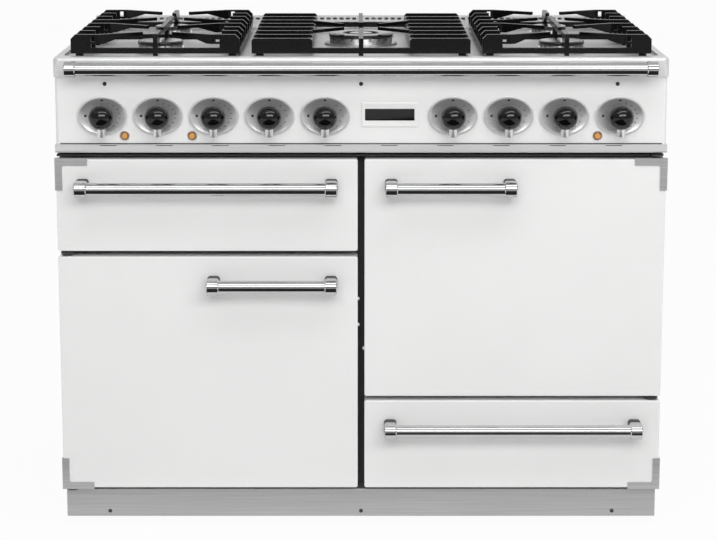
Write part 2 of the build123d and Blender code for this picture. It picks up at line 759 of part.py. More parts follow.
with BuildPart() as pan_support_middle:
    low_frame(0, 2 * MID_HALF)
    block_in = WOK_BURNER_D / 2 + BURNER_CAP_LAP + WOK_ROOM
    for side in (-1, 1):
        for bar in range(GRID_BARS):
            is_end = bar in (0, GRID_BARS - 1)
            low = GRID_Z0 if is_end else MID_TOP - MID_RIB_H
            outline = [
                (side * MID_HALF, low),
                (side * MID_HALF, MID_TOP - MID_EDGE),
                (side * (MID_HALF - MID_EDGE), MID_TOP),
                (side * (block_in + MID_EDGE), MID_TOP),
                (side * block_in, MID_TOP - MID_EDGE),
                (side * block_in, low),
            ]
            with BuildSketch(facing(GRID_Y0 + bar * BAR_PITCH)):
                with BuildLine():
                    Polyline(*outline, close=True)
                make_face()
            extrude(amount=-BAR_T)
        for wall in (MID_HALF, block_in + BAR_T):
            block(
                (side * wall, side * (wall - BAR_T)),
                (GRID_Y0 + GRID_CORNER, GRID_Y0 + GRID_D - GRID_CORNER),
                (GRID_Z0, MID_TOP - MID_EDGE),
            )
        with BuildSketch(Plane.YZ.offset(-BAR_T / 2)):
            with BuildLine():
                edge = GRID_YC + side * GRID_D / 2
                tip = GRID_YC + side * WOK_CLEAR
                Polyline(
                    (edge, WELL_Z),
                    (edge, MID_TOP),
                    (tip, MID_TOP),
                    (tip, MID_TOP - FINGER_TIP),
                    (edge - side * SPINE_ROOT, GRID_Z1),
                    (edge - side * SPINE_FOOT, GRID_Z0),
                    (edge - side * SPINE_FOOT, WELL_Z),
                    close=True,
                )
            make_face()
        extrude(amount=BAR_T)
    arm_end = block_in * sqrt(2)
    with BuildSketch(Plane.XY.offset(MID_TOP - FINGER_TIP)):
        with Locations((0, GRID_YC)):
            with PolarLocations((WOK_CLEAR + arm_end) / 2, 4, start_angle=45):
                Rectangle(arm_end - WOK_CLEAR + BAR_T, BAR_T)
    extrude(amount=FINGER_TIP)
save(pan_support_middle.part, "pan_support_middle")

# Rail in front of the hob
with BuildPart() as front_rail:
    rail_x = HALF_W - RAIL_INSET
    rail_y = RIM_Y - RAIL_REACH
    rail_z = RIM_Z + RIM_H / 2
    rod((-rail_x, rail_y, rail_z), (rail_x, rail_y, rail_z), RAIL_D)
    for side in (-1, 1):
        inner = side * (rail_x - RAIL_COLLAR_L)
        middle = side * (rail_x - RAIL_COLLAR_L / 2)
        rod((inner, rail_y, rail_z), (side * rail_x, rail_y, rail_z), COLLAR_D)
        rod((middle, rail_y, rail_z), (middle, RIM_Y, rail_z), RAIL_POST_D)
    chamfer_collars(front_rail)
save(front_rail.part, "front_rail")


# Control panel and its trim
def panel_body(inset):
    """Control panel outline with its front corners rounded, drawn in by the inset."""
    with BuildPart() as body:
        with BuildSketch(Plane.XY.offset(PANEL_Z + inset)) as outline:
            with Locations((0, (PANEL_Y + inset + CHASSIS_Y) / 2)):
                Rectangle(2 * (BODY_X - inset), CHASSIS_Y - PANEL_Y - inset)
            fillet(outline.vertices().sort_by(Axis.Y)[:2], PANEL_R - inset)
        extrude(amount=PANEL_H - 2 * inset)
    return body.part


with BuildPart() as control_panel:
    add(panel_body(0))
    add(panel_body(SKIN), mode=Mode.SUBTRACT)
    with BuildSketch(facing(PANEL_Y)):
        with Locations(*((x, KNOB_Z) for x in KNOB_X)):
            Circle(PANEL_HOLE_D / 2)
        with Locations(*((x, KNOB_Z - LAMP_DROP) for x in LAMP_X)):
            Circle(LAMP_STUD_D / 2)
    extrude(amount=-SKIN, mode=Mode.SUBTRACT)
save(control_panel.part, "control_panel")

with BuildPart() as panel_trim:
    trim_x = BODY_X + SIDE_INSET
    with BuildSketch(Plane.YZ.offset(-trim_x)) as section:
        with Locations(((TRIM_Y + FRAME_Y) / 2, (TRIM_Z + PANEL_Z) / 2)):
            Rectangle(FRAME_Y - TRIM_Y, TRIM_H)
        fillet(section.vertices().sort_by(Axis.Y)[:2], TRIM_R)
    extrude(amount=2 * trim_x)
    block(
        (-trim_x, trim_x),
        (TRIM_Y + 2 * SKIN, FRAME_Y),
        (TRIM_Z + SKIN, PANEL_Z - SKIN),
        Mode.SUBTRACT,
    )
    with BuildSketch(Plane.XY.offset(PANEL_Z - TRIM_SLOT_H)):
        with Locations((0, TRIM_Y)):
            with GridLocations(TRIM_SLOT_PITCH, TRIM_SLOT_PITCH, TRIM_SLOTS, 1):
                Rectangle(TRIM_SLOT_W, 2 * TRIM_R)
    extrude(amount=TRIM_SLOT_H, mode=Mode.SUBTRACT)
save(panel_trim.part, "panel_trim")

with BuildPart() as knob_bezels:
    for x in KNOB_X:
        with BuildSketch(facing(PANEL_Y)):
            with Locations((x, KNOB_Z)):
                Ellipse(BEZEL_W / 2, BEZEL_H / 2)
        extrude(amount=BEZEL_T)
        # The dish narrows in two steps towards its flat floor
        oval = BEZEL_H / BEZEL_W
        rim_w = BEZEL_W / 2 - BEZEL_RIM
        floor_w = BEZEL_FLOOR_W / 2
        waist_w = floor_w + BEZEL_WAIST * (rim_w - floor_w)
        steps = [(BEZEL_T, rim_w), (BEZEL_FLOOR + BEZEL_WAIST_RISE, waist_w), (BEZEL_FLOOR, floor_w)]
        for rise, width in steps:
            with BuildSketch(facing(PANEL_Y - rise)):
                with Locations((x, KNOB_Z)):
                    Ellipse(width, width * oval)
        loft(mode=Mode.SUBTRACT)
        rod((x, PANEL_Y, KNOB_Z), (x, PANEL_Y - BEZEL_T, KNOB_Z), BEZEL_BORE, Mode.SUBTRACT)
save(knob_bezels.part, "knob_bezels")

with BuildPart() as indicator_lamps:
    for x in LAMP_X:
        z = KNOB_Z - LAMP_DROP
        rod((x, PANEL_Y, z), (x, PANEL_Y + LAMP_STUD_L, z), LAMP_STUD_D)
        rod((x, PANEL_Y - LAMP_RISE, z), (x, PANEL_Y, z), LAMP_D)
    fillet(indicator_lamps.edges().group_by(Axis.Y)[0], LAMP_DOME_R)
save(indicator_lamps.part, "indicator_lamps")

# Taps, switches and pipes behind the panel
MANIFOLD_Y = PANEL_IN + TAP_REACH
with BuildPart() as control_valves:
    for x in GAS_X:
        block(
            (x - TAP_W / 2, x + TAP_W / 2),
            (PANEL_IN + TAP_NECK_L, MANIFOLD_Y),
            (KNOB_Z - TAP_H / 2, KNOB_Z + TAP_H / 2),
        )
        rod((x, PANEL_IN, KNOB_Z), (x, PANEL_IN + TAP_NECK_L, KNOB_Z), TAP_NECK_D)
        saddle = [(end, MANIFOLD_Y, KNOB_Z) for end in (x - TAP_W / 2, x + TAP_W / 2)]
        rod(*saddle, MANIFOLD_D, Mode.SUBTRACT)
        bury = PANEL_IN + SPINDLE_BURY + RUN_GAP
        rod((x, PANEL_IN, KNOB_Z), (x, bury, KNOB_Z), SPINDLE_D + 2 * SHAFT_GAP, Mode.SUBTRACT)
    for x in SWITCH_X:
        with BuildSketch(facing(PANEL_IN + TAP_NECK_L)):
            with Locations((x, KNOB_Z)):
                RectangleRounded(SWITCH_W, SWITCH_W, APERTURE_R)
        extrude(amount=-SWITCH_L)
        rod((x, PANEL_IN, KNOB_Z), (x, PANEL_IN + TAP_NECK_L, KNOB_Z), TAP_NECK_D)
        bury = PANEL_IN + TAP_NECK_L + SWITCH_BURY + RUN_GAP
        rod((x, PANEL_IN, KNOB_Z), (x, bury, KNOB_Z), SWITCH_SHAFT_D + 2 * SHAFT_GAP, Mode.SUBTRACT)
save(control_valves.part, "control_valves")

with BuildPart() as gas_manifold:
    start = (GAS_X[0] - MANIFOLD_END, MANIFOLD_Y, KNOB_Z)
    with BuildLine():
        FilletPolyline(
            start,
            (INLET_X, MANIFOLD_Y, KNOB_Z),
            (INLET_X, REAR_Y + SKIN, KNOB_Z),
            radius=MANIFOLD_R,
        )
    with BuildSketch(Plane(origin=start, z_dir=(1, 0, 0))):
        Circle(MANIFOLD_D / 2)
    sweep()
    with BuildSketch(facing(REAR_Y + SKIN)):
        with Locations((INLET_X, KNOB_Z)):
            RegularPolygon(INLET_AF / 2, 6, major_radius=False)
    extrude(amount=-REAR_SPACE)
    rod((INLET_X, BACK_Y - INLET_DEPTH, KNOB_Z), (INLET_X, BACK_Y, KNOB_Z), INLET_BORE, Mode.SUBTRACT)
    feed_z = KNOB_Z + TAP_H / 2
    feed_y = PANEL_IN + FEED_SETBACK
    step = (STEM_Z - feed_z - 2 * FEED_R) / len(GAS_X)
    for number, (x, burner) in enumerate(zip(GAS_X, BURNERS)):
        level = feed_z + FEED_R + (number + 0.5) * step
        with BuildLine() as route:
            FilletPolyline(
                (x, feed_y, feed_z),
                (x, feed_y, level),
                (burner[0], burner[1], level),
                (burner[0], burner[1], STEM_Z),
                radius=FEED_R,
            )
        with BuildSketch(Plane.XY.offset(feed_z)):
            with Locations((x, feed_y)):
                Circle(FEED_D / 2)
        sweep()
save(gas_manifold.part, "gas_manifold")


# Ovens
def oven_liner(x, z, height):
    """Open-fronted oven box with a flange behind the front frame and a hole for the fan shaft."""
    with BuildPart() as liner:
        with BuildSketch(facing(CHASSIS_Y)):
            with Locations((x, z + height / 2)):
                RectangleRounded(OVEN_W + 2 * SKIN, height + 2 * SKIN, OVEN_R + SKIN)
        extrude(amount=-(OVEN_D + SKIN))
        with BuildSketch(facing(CHASSIS_Y)):
            with Locations((x, z + height / 2)):
                RectangleRounded(OVEN_W + 2 * FLANGE_W, height + 2 * FLANGE_W, OVEN_R)
        extrude(amount=-SKIN)
        with BuildSketch(facing(CHASSIS_Y)):
            with Locations((x, z + height / 2)):
                RectangleRounded(OVEN_W, height, OVEN_R)
        extrude(amount=-OVEN_D, mode=Mode.SUBTRACT)
        shaft_hole = [(x, y, z + height / 2) for y in (OVEN_BACK, OVEN_BACK + SKIN)]
        rod(*shaft_hole, FAN_SHAFT_D + 2 * SIDE_GAP, Mode.SUBTRACT)
    return liner.part


for (x, z, height), name in zip(OVENS, ("left_oven_liner", "right_oven_liner")):
    save(oven_liner(x, z, height), name)


def shelf_ladder(wall, side, rungs):
    """Wire side rack: two uprights pegged to the wall and rungs welded to their inner side."""
    upright = wall - side * LADDER_STAND
    rung = upright - side * (WIRE_D - WIRE_WELD)
    spacing = rungs[1] - rungs[0]
    low, high = rungs[0] - spacing / 2, rungs[-1] + spacing / 2
    ends = (CHASSIS_Y + LADDER_INSET, OVEN_BACK - LADDER_INSET)
    for y in ends:
        rod((upright, y, low), (upright, y, high), WIRE_D)
        for z in (low + WIRE_D, high - WIRE_D):
            rod((wall, y, z), (upright, y, z), PEG_D)
    for z in rungs:
        rod((rung, ends[0] - WIRE_D, z), (rung, ends[1] + WIRE_D, z), WIRE_D)
    return rung


def wire_shelf(x, half, z):
    """Oven shelf: a bent wire frame with cross wires welded on top."""
    front, back = CHASSIS_Y + SHELF_INSET, OVEN_BACK - FAN_COVER_DEPTH - SHELF_INSET
    wire_loop((x - half, x + half), (front, back), z, SHELF_FRAME_D)
    top = z + (SHELF_FRAME_D + SHELF_WIRE_D) / 2 - WIRE_WELD
    for wire in range(1, SHELF_WIRES + 1):
        across = x - half + 2 * half * wire / (SHELF_WIRES + 1)
        rod((across, front, top), (across, back, top), SHELF_WIRE_D)


SHELF_SEAT = sqrt(((WIRE_D + SHELF_FRAME_D) / 2) ** 2 - SHELF_STEP**2) + SHAFT_GAP
with BuildPart() as oven_racks:
    for x, z, height in OVENS:
        levels = [z + height * (level + 1) / (LADDER_RUNGS + 1) for level in range(LADDER_RUNGS)]
        for side in (-1, 1):
            rung = shelf_ladder(x + side * OVEN_W / 2, side, levels)
        wire_shelf(x, rung - x - SHELF_STEP, levels[LADDER_RUNGS // 2] + SHELF_SEAT)
save(oven_racks.part, "oven_racks")

with BuildPart() as fan_covers:
    for x, z, height in OVENS:
        middle = z + height / 2
        front = OVEN_BACK - FAN_COVER_DEPTH
        with BuildSketch(facing(front)):
            with Locations((x, middle)):
                RectangleRounded(FAN_COVER_W, FAN_COVER_W, FAN_COVER_R)
        extrude(amount=-FAN_COVER_DEPTH)
        with BuildSketch(facing(front + SKIN)):
            with Locations((x, middle)):
                inner_w = FAN_COVER_W - 2 * SKIN
                RectangleRounded(inner_w, inner_w, FAN_COVER_R - SKIN)
        extrude(amount=SKIN - FAN_COVER_DEPTH, mode=Mode.SUBTRACT)
        with BuildSketch(facing(front)):
            with Locations((x, middle)):
                with PolarLocations(FAN_HOLE_RING, FAN_HOLES):
                    Circle(FAN_HOLE_D / 2)
                with PolarLocations(FAN_HOLE_RING / 2, FAN_HOLES // 2):
                    Circle(FAN_HOLE_D / 2)
        extrude(amount=-SKIN, mode=Mode.SUBTRACT)
        with BuildSketch(Plane.YZ.offset(x - FAN_COVER_W / 2)):
            with Locations((OVEN_BACK - FAN_COVER_DEPTH / 2, middle)):
                with GridLocations(FAN_HOLE_D, FAN_HOLE_RING, 1, 4):
                    SlotOverall(FAN_HOLE_RING / 2, FAN_HOLE_D, rotation=90)
        extrude(amount=FAN_COVER_W, mode=Mode.SUBTRACT)
save(fan_covers.part, "fan_covers")

FAN_END = OVEN_BACK + FAN_SHAFT_L
with BuildPart() as fan_motors:
    for x, z, height in OVENS:
        middle = z + height / 2
        mount_y = OVEN_BACK + SKIN
        rod((x, mount_y, middle), (x, mount_y + MOTOR_L, middle), MOTOR_D)
        block(
            (x - MOTOR_D / 2 - FLANGE_W, x + MOTOR_D / 2 + FLANGE_W),
            (mount_y, mount_y + FRAME_T),
            (middle - FLANGE_W, middle + FLANGE_W),
        )
        bearing = [(x, y, middle) for y in (mount_y, FAN_END + RUN_GAP)]
        rod(*bearing, FAN_SHAFT_D + 2 * SHAFT_GAP, Mode.SUBTRACT)
save(fan_motors.part, "fan_motors")


def oven_fan(x, z, height):
    """Radial fan: a back plate with straight blades on the motor's shaft."""
    middle = z + height / 2
    plate_y = OVEN_BACK - FAN_BACK
    with BuildPart() as fan:
        rod((x, plate_y - SKIN, middle), (x, plate_y, middle), FAN_D)
        rod((x, plate_y - FAN_BLADE_H, middle), (x, plate_y, middle), FAN_HUB_D)
        rod((x, plate_y, middle), (x, FAN_END, middle), FAN_SHAFT_D)
        with BuildSketch(facing(plate_y - SKIN)):
            with Locations((x, middle)):
                with PolarLocations((FAN_D / 2 + FAN_HUB_D) / 2, FAN_BLADES):
                    Rectangle(FAN_D / 2 - FAN_HUB_D, SKIN)
        extrude(amount=FAN_BLADE_H - SKIN)
    return fan.part


for (x, z, height), name in zip(OVENS, ("left_oven_fan", "right_oven_fan")):
    save(oven_fan(x, z, height), name)


# Doors, drawers and their fittings
def front_pan(x, z, hinge_side=0):
    """Folded front: a plain face, returned edges and a lip round the open back.

    A door has a bush at the top and the bottom of its hinged edge.
    """
    width, height = x[1] - x[0], z[1] - z[0]
    centre = (sum(x) / 2, sum(z) / 2)
    depth = DOOR_T - LINER_T
    with BuildPart() as pan:
        with BuildSketch(facing(FRONT_Y)):
            with Locations(centre):
                RectangleRounded(width, height, FRONT_CORNER_R)
        extrude(amount=-depth)
        fillet(pan.faces().sort_by(Axis.Y)[0].edges(), FRONT_EDGE_R)
        with BuildSketch(facing(FRONT_Y + SKIN)):
            with Locations(centre):
                RectangleRounded(width - 2 * SKIN, height - 2 * SKIN, FRONT_CORNER_R - SKIN)
        extrude(amount=2 * SKIN - depth, mode=Mode.SUBTRACT)
        with BuildSketch(facing(FRONT_Y + depth - SKIN)):
            with Locations(centre):
                RectangleRounded(width - 2 * FRONT_LIP, height - 2 * FRONT_LIP, APERTURE_R)
        extrude(amount=-SKIN, mode=Mode.SUBTRACT)
        if hinge_side:
            pin_x, pin_y = hinge_side * (BODY_X - PIN_SIDE), FRONT_Y + PIN_BACK
            for end, inward in ((z[0], 1), (z[1], -1)):
                depth_z = end + inward * BUSH_L
                rod((pin_x, pin_y, end), (pin_x, pin_y, depth_z), BUSH_D)
                rod((pin_x, pin_y, end), (pin_x, pin_y, depth_z), PIN_D + 2 * SHAFT_GAP, Mode.SUBTRACT)
    return pan.part


def door_liner(x, z, oven):
    """Inner sheet of a door with a pressed pad that faces the oven."""
    oven_x, oven_z, oven_h = oven
    pad_w, pad_h = OVEN_W + 2 * PAD_MARGIN, oven_h + 2 * PAD_MARGIN
    pad_at = (oven_x, oven_z + oven_h / 2)
    with BuildPart() as liner:
        block(
            (x[0] + LINER_INSET, x[1] - LINER_INSET),
            (LINER_Y, LINER_Y + LINER_T),
            (z[0] + LINER_INSET, z[1] - LINER_INSET),
        )
        with BuildSketch(facing(LINER_Y)):
            with Locations(pad_at):
                RectangleRounded(pad_w, pad_h, PAD_R)
        extrude(amount=-(LINER_T + PAD_H))
        with BuildSketch(facing(LINER_Y)):
            with Locations(pad_at):
                RectangleRounded(pad_w - 2 * LINER_T, pad_h - 2 * LINER_T, PAD_R - LINER_T)
        extrude(amount=-PAD_H, mode=Mode.SUBTRACT)
    return liner.part


def bar_handle(x0, x1, z):
    """Round bar between two collars, each on a rounded post against the front."""
    axis_y = FRONT_Y - HANDLE_REACH + COLLAR_D / 2
    with BuildPart() as handle:
        rod((x0, axis_y, z), (x1, axis_y, z), BAR_D)
        for start in (x0, x1 - COLLAR_L):
            rod((start, axis_y, z), (start + COLLAR_L, axis_y, z), COLLAR_D)
        chamfer_collars(handle)
        with BuildSketch(facing(axis_y)) as posts:
            with Locations((x0 + COLLAR_L / 2, z), (x1 - COLLAR_L / 2, z)):
                RectangleRounded(POST_W, POST_H, POST_R)
        extrude(posts.sketch, amount=axis_y - FRONT_Y)
    return handle.part


def corner_cap(x, z, side, end):
    """L-shaped cap over one corner of a front: it wraps the edge and stands a little proud."""
    corner_x, corner_z = x + side * CAP_T, z + end * CAP_T
    arms = [
        (0, 0),
        (CAP_ARM, 0),
        (CAP_ARM, CAP_W),
        (CAP_W, CAP_W),
        (CAP_W, CAP_ARM),
        (0, CAP_ARM),
    ]
    with BuildPart() as cap:
        with BuildSketch(facing(FRONT_Y - CAP_T)) as outline:
            with BuildLine():
                Polyline(*((corner_x - side * a, corner_z - end * b) for a, b in arms), close=True)
            make_face()
            inner = (corner_x - side * CAP_W, corner_z - end * CAP_W, 0)
            fillet(outline.vertices().sort_by_distance(inner)[0], CAP_R)
        extrude(amount=-(CAP_T + CAP_WRAP))
        block(
            (x, x - side * CAP_ARM),
            (FRONT_Y, FRONT_Y + CAP_WRAP),
            (z, z - end * CAP_ARM),
            Mode.SUBTRACT,
        )
    return cap.part


LEFT_DOOR_Z = (FRONT_Z0, LEFT_DOOR_Z1)
RIGHT_DOOR_Z = (RIGHT_DOOR_Z0, FRONT_Z1)
save(front_pan(LEFT_X, LEFT_DOOR_Z, hinge_side=-1), "left_door_panel")
save(front_pan(RIGHT_X, RIGHT_DOOR_Z, hinge_side=1), "right_door_panel")
save(front_pan(LEFT_X, (GRILL_Z0, FRONT_Z1)), "grill_front")
save(front_pan(RIGHT_X, (FRONT_Z0, DRAWER_Z1)), "drawer_front")
save(door_liner(LEFT_X, LEFT_DOOR_Z, OVENS[0]), "left_door_liner")
save(door_liner(RIGHT_X, RIGHT_DOOR_Z, OVENS[1]), "right_door_liner")

left_free = LEFT_X[1] - HANDLE_INSET
right_free = RIGHT_X[0] + HANDLE_INSET
half_long = LONG_HANDLE_L / 2
save(bar_handle(left_free - SHORT_HANDLE_L, left_free, LEFT_DOOR_Z1 - HANDLE_DROP), "left_door_handle")
save(bar_handle(right_free, right_free + SHORT_HANDLE_L, FRONT_Z1 - HANDLE_DROP), "right_door_handle")
save(bar_handle(-COLUMN_X - half_long, -COLUMN_X + half_long, FRONT_Z1 - HANDLE_DROP), "grill_handle")
save(bar_handle(COLUMN_X - half_long, COLUMN_X + half_long, DRAWER_Z1 - HANDLE_DROP), "drawer_handle")

save(corner_cap(-BODY_X, FRONT_Z0, -1, -1), "left_door_corner")
save(corner_cap(BODY_X, FRONT_Z1, 1, 1), "right_door_corner")
save(corner_cap(-BODY_X, FRONT_Z1, -1, 1), "grill_corner")
save(corner_cap(BODY_X, FRONT_Z0, 1, -1), "drawer_corner")

# Hinge plates stand in the gaps above and below each door, with pins into the door's bushes
HINGES = (
    (-1, FRONT_Z0, -FRONT_LIFT, 1),
    (-1, LEFT_DOOR_Z1, LEFT_GAP, -1),
    (1, RIGHT_DOOR_Z0, -RIGHT_GAP, 1),
    (1, FRONT_Z1, TRIM_GAP, -1),
)
with BuildPart() as door_hinges:
    for side, door_end, gap, inward in HINGES:
        pin_x, pin_y = side * (BODY_X - PIN_SIDE), FRONT_Y + PIN_BACK
        plate_z = door_end + gap / 2 - inward * HINGE_OFFSET - HINGE_PLATE_T / 2
        with BuildSketch(Plane.XY.offset(plate_z)):
            with Locations((pin_x, (pin_y + FRAME_Y) / 2)):
                Rectangle(HINGE_PLATE_W, FRAME_Y - pin_y)
            with Locations((pin_x, pin_y)):
                Circle(HINGE_PLATE_W / 2)
        extrude(amount=HINGE_PLATE_T)
        pin_start = plate_z + HINGE_PLATE_T / 2
        rod((pin_x, pin_y, pin_start), (pin_x, pin_y, door_end + inward * (BUSH_L - RUN_GAP)), PIN_D)
save(door_hinges.part, "door_hinges")

# Grill: chamber, element, and the pan that slides out with its front
CHAMBER_X = (-COLUMN_X - GRILL_W / 2, -COLUMN_X + GRILL_W / 2)
CHAMBER_TOP = GRILL_CHAMBER_Z + GRILL_H
CHAMBER_BACK = CHASSIS_Y + GRILL_D
LEDGE_Z = GRILL_CHAMBER_Z + PAN_LIFT
PAN_X = (CHAMBER_X[0] + LEDGE_W + SIDE_GAP, CHAMBER_X[1] - LEDGE_W - SIDE_GAP)
PAN_Y = (LINER_Y + LINER_T, LINER_Y + LINER_T + PAN_D)
PAN_TOP = LEDGE_Z + RUN_GAP + SKIN
PAN_Z = PAN_TOP - PAN_H
ELEMENT_Z = CHAMBER_TOP - ELEMENT_DROP
ELEMENT_PITCH = (GRILL_W - 2 * ELEMENT_MARGIN) / (ELEMENT_PASSES - 1)
ELEMENT_X = [CHAMBER_X[0] + ELEMENT_MARGIN + i * ELEMENT_PITCH for i in range(ELEMENT_PASSES)]

with BuildPart() as grill_housing:
    block(
        (CHAMBER_X[0] - SKIN, CHAMBER_X[1] + SKIN),
        (CHASSIS_Y, CHAMBER_BACK + SKIN),
        (GRILL_CHAMBER_Z - SKIN, CHAMBER_TOP + SKIN),
    )
    block(
        (CHAMBER_X[0] - FLANGE_W, CHAMBER_X[1] + FLANGE_W),
        (CHASSIS_Y, CHASSIS_Y + SKIN),
        (GRILL_CHAMBER_Z - FLANGE_W / 2, CHAMBER_TOP + FLANGE_W / 2),
    )
    block(CHAMBER_X, (CHASSIS_Y, CHAMBER_BACK), (GRILL_CHAMBER_Z, CHAMBER_TOP), Mode.SUBTRACT)
    for wall, side in ((CHAMBER_X[0], 1), (CHAMBER_X[1], -1)):
        block((wall, wall + side * LEDGE_W), (CHASSIS_Y, CHAMBER_BACK), (LEDGE_Z - LEDGE_T, LEDGE_Z))
    for x in (ELEMENT_X[0], ELEMENT_X[-1]):
        rod(
            (x, CHAMBER_BACK, ELEMENT_Z),
            (x, CHAMBER_BACK + SKIN, ELEMENT_Z),
            ELEMENT_D + 2 * SHAFT_GAP,
            Mode.SUBTRACT,
        )
save(grill_housing.part, "grill_housing")

with BuildPart() as grill_element:
    near, far = CHASSIS_Y + ELEMENT_MARGIN, CHAMBER_BACK - ELEMENT_MARGIN
    tail = CHAMBER_BACK + FLANGE_W
    points = []
    for number, x in enumerate(ELEMENT_X):
        ends = (far, near) if number % 2 == 0 else (near, far)
        points += [(x, y, ELEMENT_Z) for y in ends]
    points[0] = (ELEMENT_X[0], tail, ELEMENT_Z)
    points[-1] = (ELEMENT_X[-1], tail, ELEMENT_Z)
    with BuildLine():
        FilletPolyline(*points, radius=ELEMENT_BEND * ELEMENT_PITCH)
    with BuildSketch(Plane(origin=points[0], z_dir=(0, -1, 0))):
        Circle(ELEMENT_D / 2)
    sweep()
save(grill_element.part, "grill_element")

with BuildPart() as grill_pan:
    block(PAN_X, PAN_Y, (PAN_Z, PAN_TOP))
    block(
        (CHAMBER_X[0] + SIDE_GAP, CHAMBER_X[1] - SIDE_GAP),
        (PAN_Y[0], PAN_Y[1]),
        (PAN_TOP - SKIN, PAN_TOP),
    )
    block(
        (PAN_X[0] + SKIN, PAN_X[1] - SKIN),
        (PAN_Y[0] + SKIN, PAN_Y[1] - SKIN),
        (PAN_Z + SKIN, PAN_TOP),
        Mode.SUBTRACT,
    )
    block(
        (LEFT_X[0] + LINER_INSET, LEFT_X[1] - LINER_INSET),
        (LINER_Y, LINER_Y + LINER_T),
        (GRILL_Z0 + LINER_INSET, FRONT_Z1 - LINER_INSET),
    )
save(grill_pan.part, "grill_pan")

with BuildPart() as grill_trivet:
    rack_x = (PAN_X[0] + TRIVET_MARGIN, PAN_X[1] - TRIVET_MARGIN)
    rack_y = (PAN_Y[0] + TRIVET_MARGIN, PAN_Y[1] - TRIVET_MARGIN)
    rack_z = PAN_Z + SKIN + TRIVET_H
    wire_loop(rack_x, rack_y, rack_z, WIRE_D)
    for x in rack_x:
        for y in (rack_y[0] + TRIVET_LEG_IN, rack_y[1] - TRIVET_LEG_IN):
            rod((x, y, PAN_Z + SKIN), (x, y, rack_z), TRIVET_WIRE_D)
    top = rack_z + (WIRE_D + TRIVET_WIRE_D) / 2 - WIRE_WELD
    for wire in range(1, TRIVET_WIRES + 1):
        x = rack_x[0] + (rack_x[1] - rack_x[0]) * wire / (TRIVET_WIRES + 1)
        rod((x, rack_y[0], top), (x, rack_y[1], top), TRIVET_WIRE_D)
save(grill_trivet.part, "grill_trivet")

# Storage drawer
BOX_X = (COLUMN_X - DRAWER_W / 2, COLUMN_X + DRAWER_W / 2)
with BuildPart() as drawer_box:
    block(BOX_X, (LINER_Y + LINER_T, DRAWER_BACK), (DRAWER_Z, DRAWER_Z + DRAWER_H))
    block(
        (BOX_X[0] + SKIN, BOX_X[1] - SKIN),
        (LINER_Y + LINER_T + SKIN, DRAWER_BACK - SKIN),
        (DRAWER_Z + SKIN, DRAWER_Z + DRAWER_H),
        Mode.SUBTRACT,
    )
    block(
        (RIGHT_X[0] + LINER_INSET, RIGHT_X[1] - LINER_INSET),
        (LINER_Y, LINER_Y + LINER_T),
        (FRONT_Z0 + LINER_INSET, DRAWER_Z1 - LINER_INSET),
    )
save(drawer_box.part, "drawer_box")

# Knobs and the spindles of the gas taps
BALL_R = BALL_D / 2
BALL_BACK = PANEL_Y - BALL_STAND
BALL_Y = BALL_BACK - BALL_R + BALL_CUT
NECK_Y = BALL_BACK + NECK_L
GRIP_Y = NECK_Y - SPINDLE_GRIP


def knob(x, is_gas):
    """Ball knob with a flat back and a round pointer that hangs down when it is off."""
    with BuildPart() as ball:
        with Locations((x, BALL_Y, KNOB_Z)):
            Sphere(BALL_R)
        block(
            (x - BALL_R, x + BALL_R),
            (BALL_BACK, BALL_Y + BALL_R),
            (KNOB_Z - BALL_R, KNOB_Z + BALL_R),
            Mode.SUBTRACT,
        )
        rod((x, BALL_Y, KNOB_Z), (x, NECK_Y, KNOB_Z), NECK_D)
        tip_z = KNOB_Z - BALL_R - POINTER_REACH
        rod((x, BALL_Y, KNOB_Z), (x, BALL_Y, tip_z), POINTER_D)
        chamfer(ball.edges().sort_by(Axis.Z)[0], POINTER_CHAMFER)
        if is_gas:
            bore_y = GRIP_Y - KNOB_TRAVEL - BORE_SPARE
            rod((x, NECK_Y, KNOB_Z), (x, bore_y, KNOB_Z), SPINDLE_D + 2 * SHAFT_GAP, Mode.SUBTRACT)
        else:
            bury = PANEL_IN + TAP_NECK_L + SWITCH_BURY
            rod((x, NECK_Y, KNOB_Z), (x, bury, KNOB_Z), SWITCH_SHAFT_D)
    return ball.part


def tap_spindle(x):
    """Tap plug that turns in its body and carries the knob on its front end."""
    with BuildPart() as spindle:
        rod((x, GRIP_Y, KNOB_Z), (x, PANEL_IN + SPINDLE_BURY, KNOB_Z), SPINDLE_D)
    return spindle.part


for number, x in enumerate(KNOB_X, start=1):
    save(knob(x, number in GAS_KNOBS), f"knob_{number}")
    if number in GAS_KNOBS:
        save(tap_spindle(x), f"tap_spindle_{number}")
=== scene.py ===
"""Looks of the range cooker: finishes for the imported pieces, small fittings, light and camera."""

import json
from math import cos, pi, radians, sin, tau

import bmesh
import bpy
from mathutils import Matrix, Vector
from mathutils.bvhtree import BVHTree


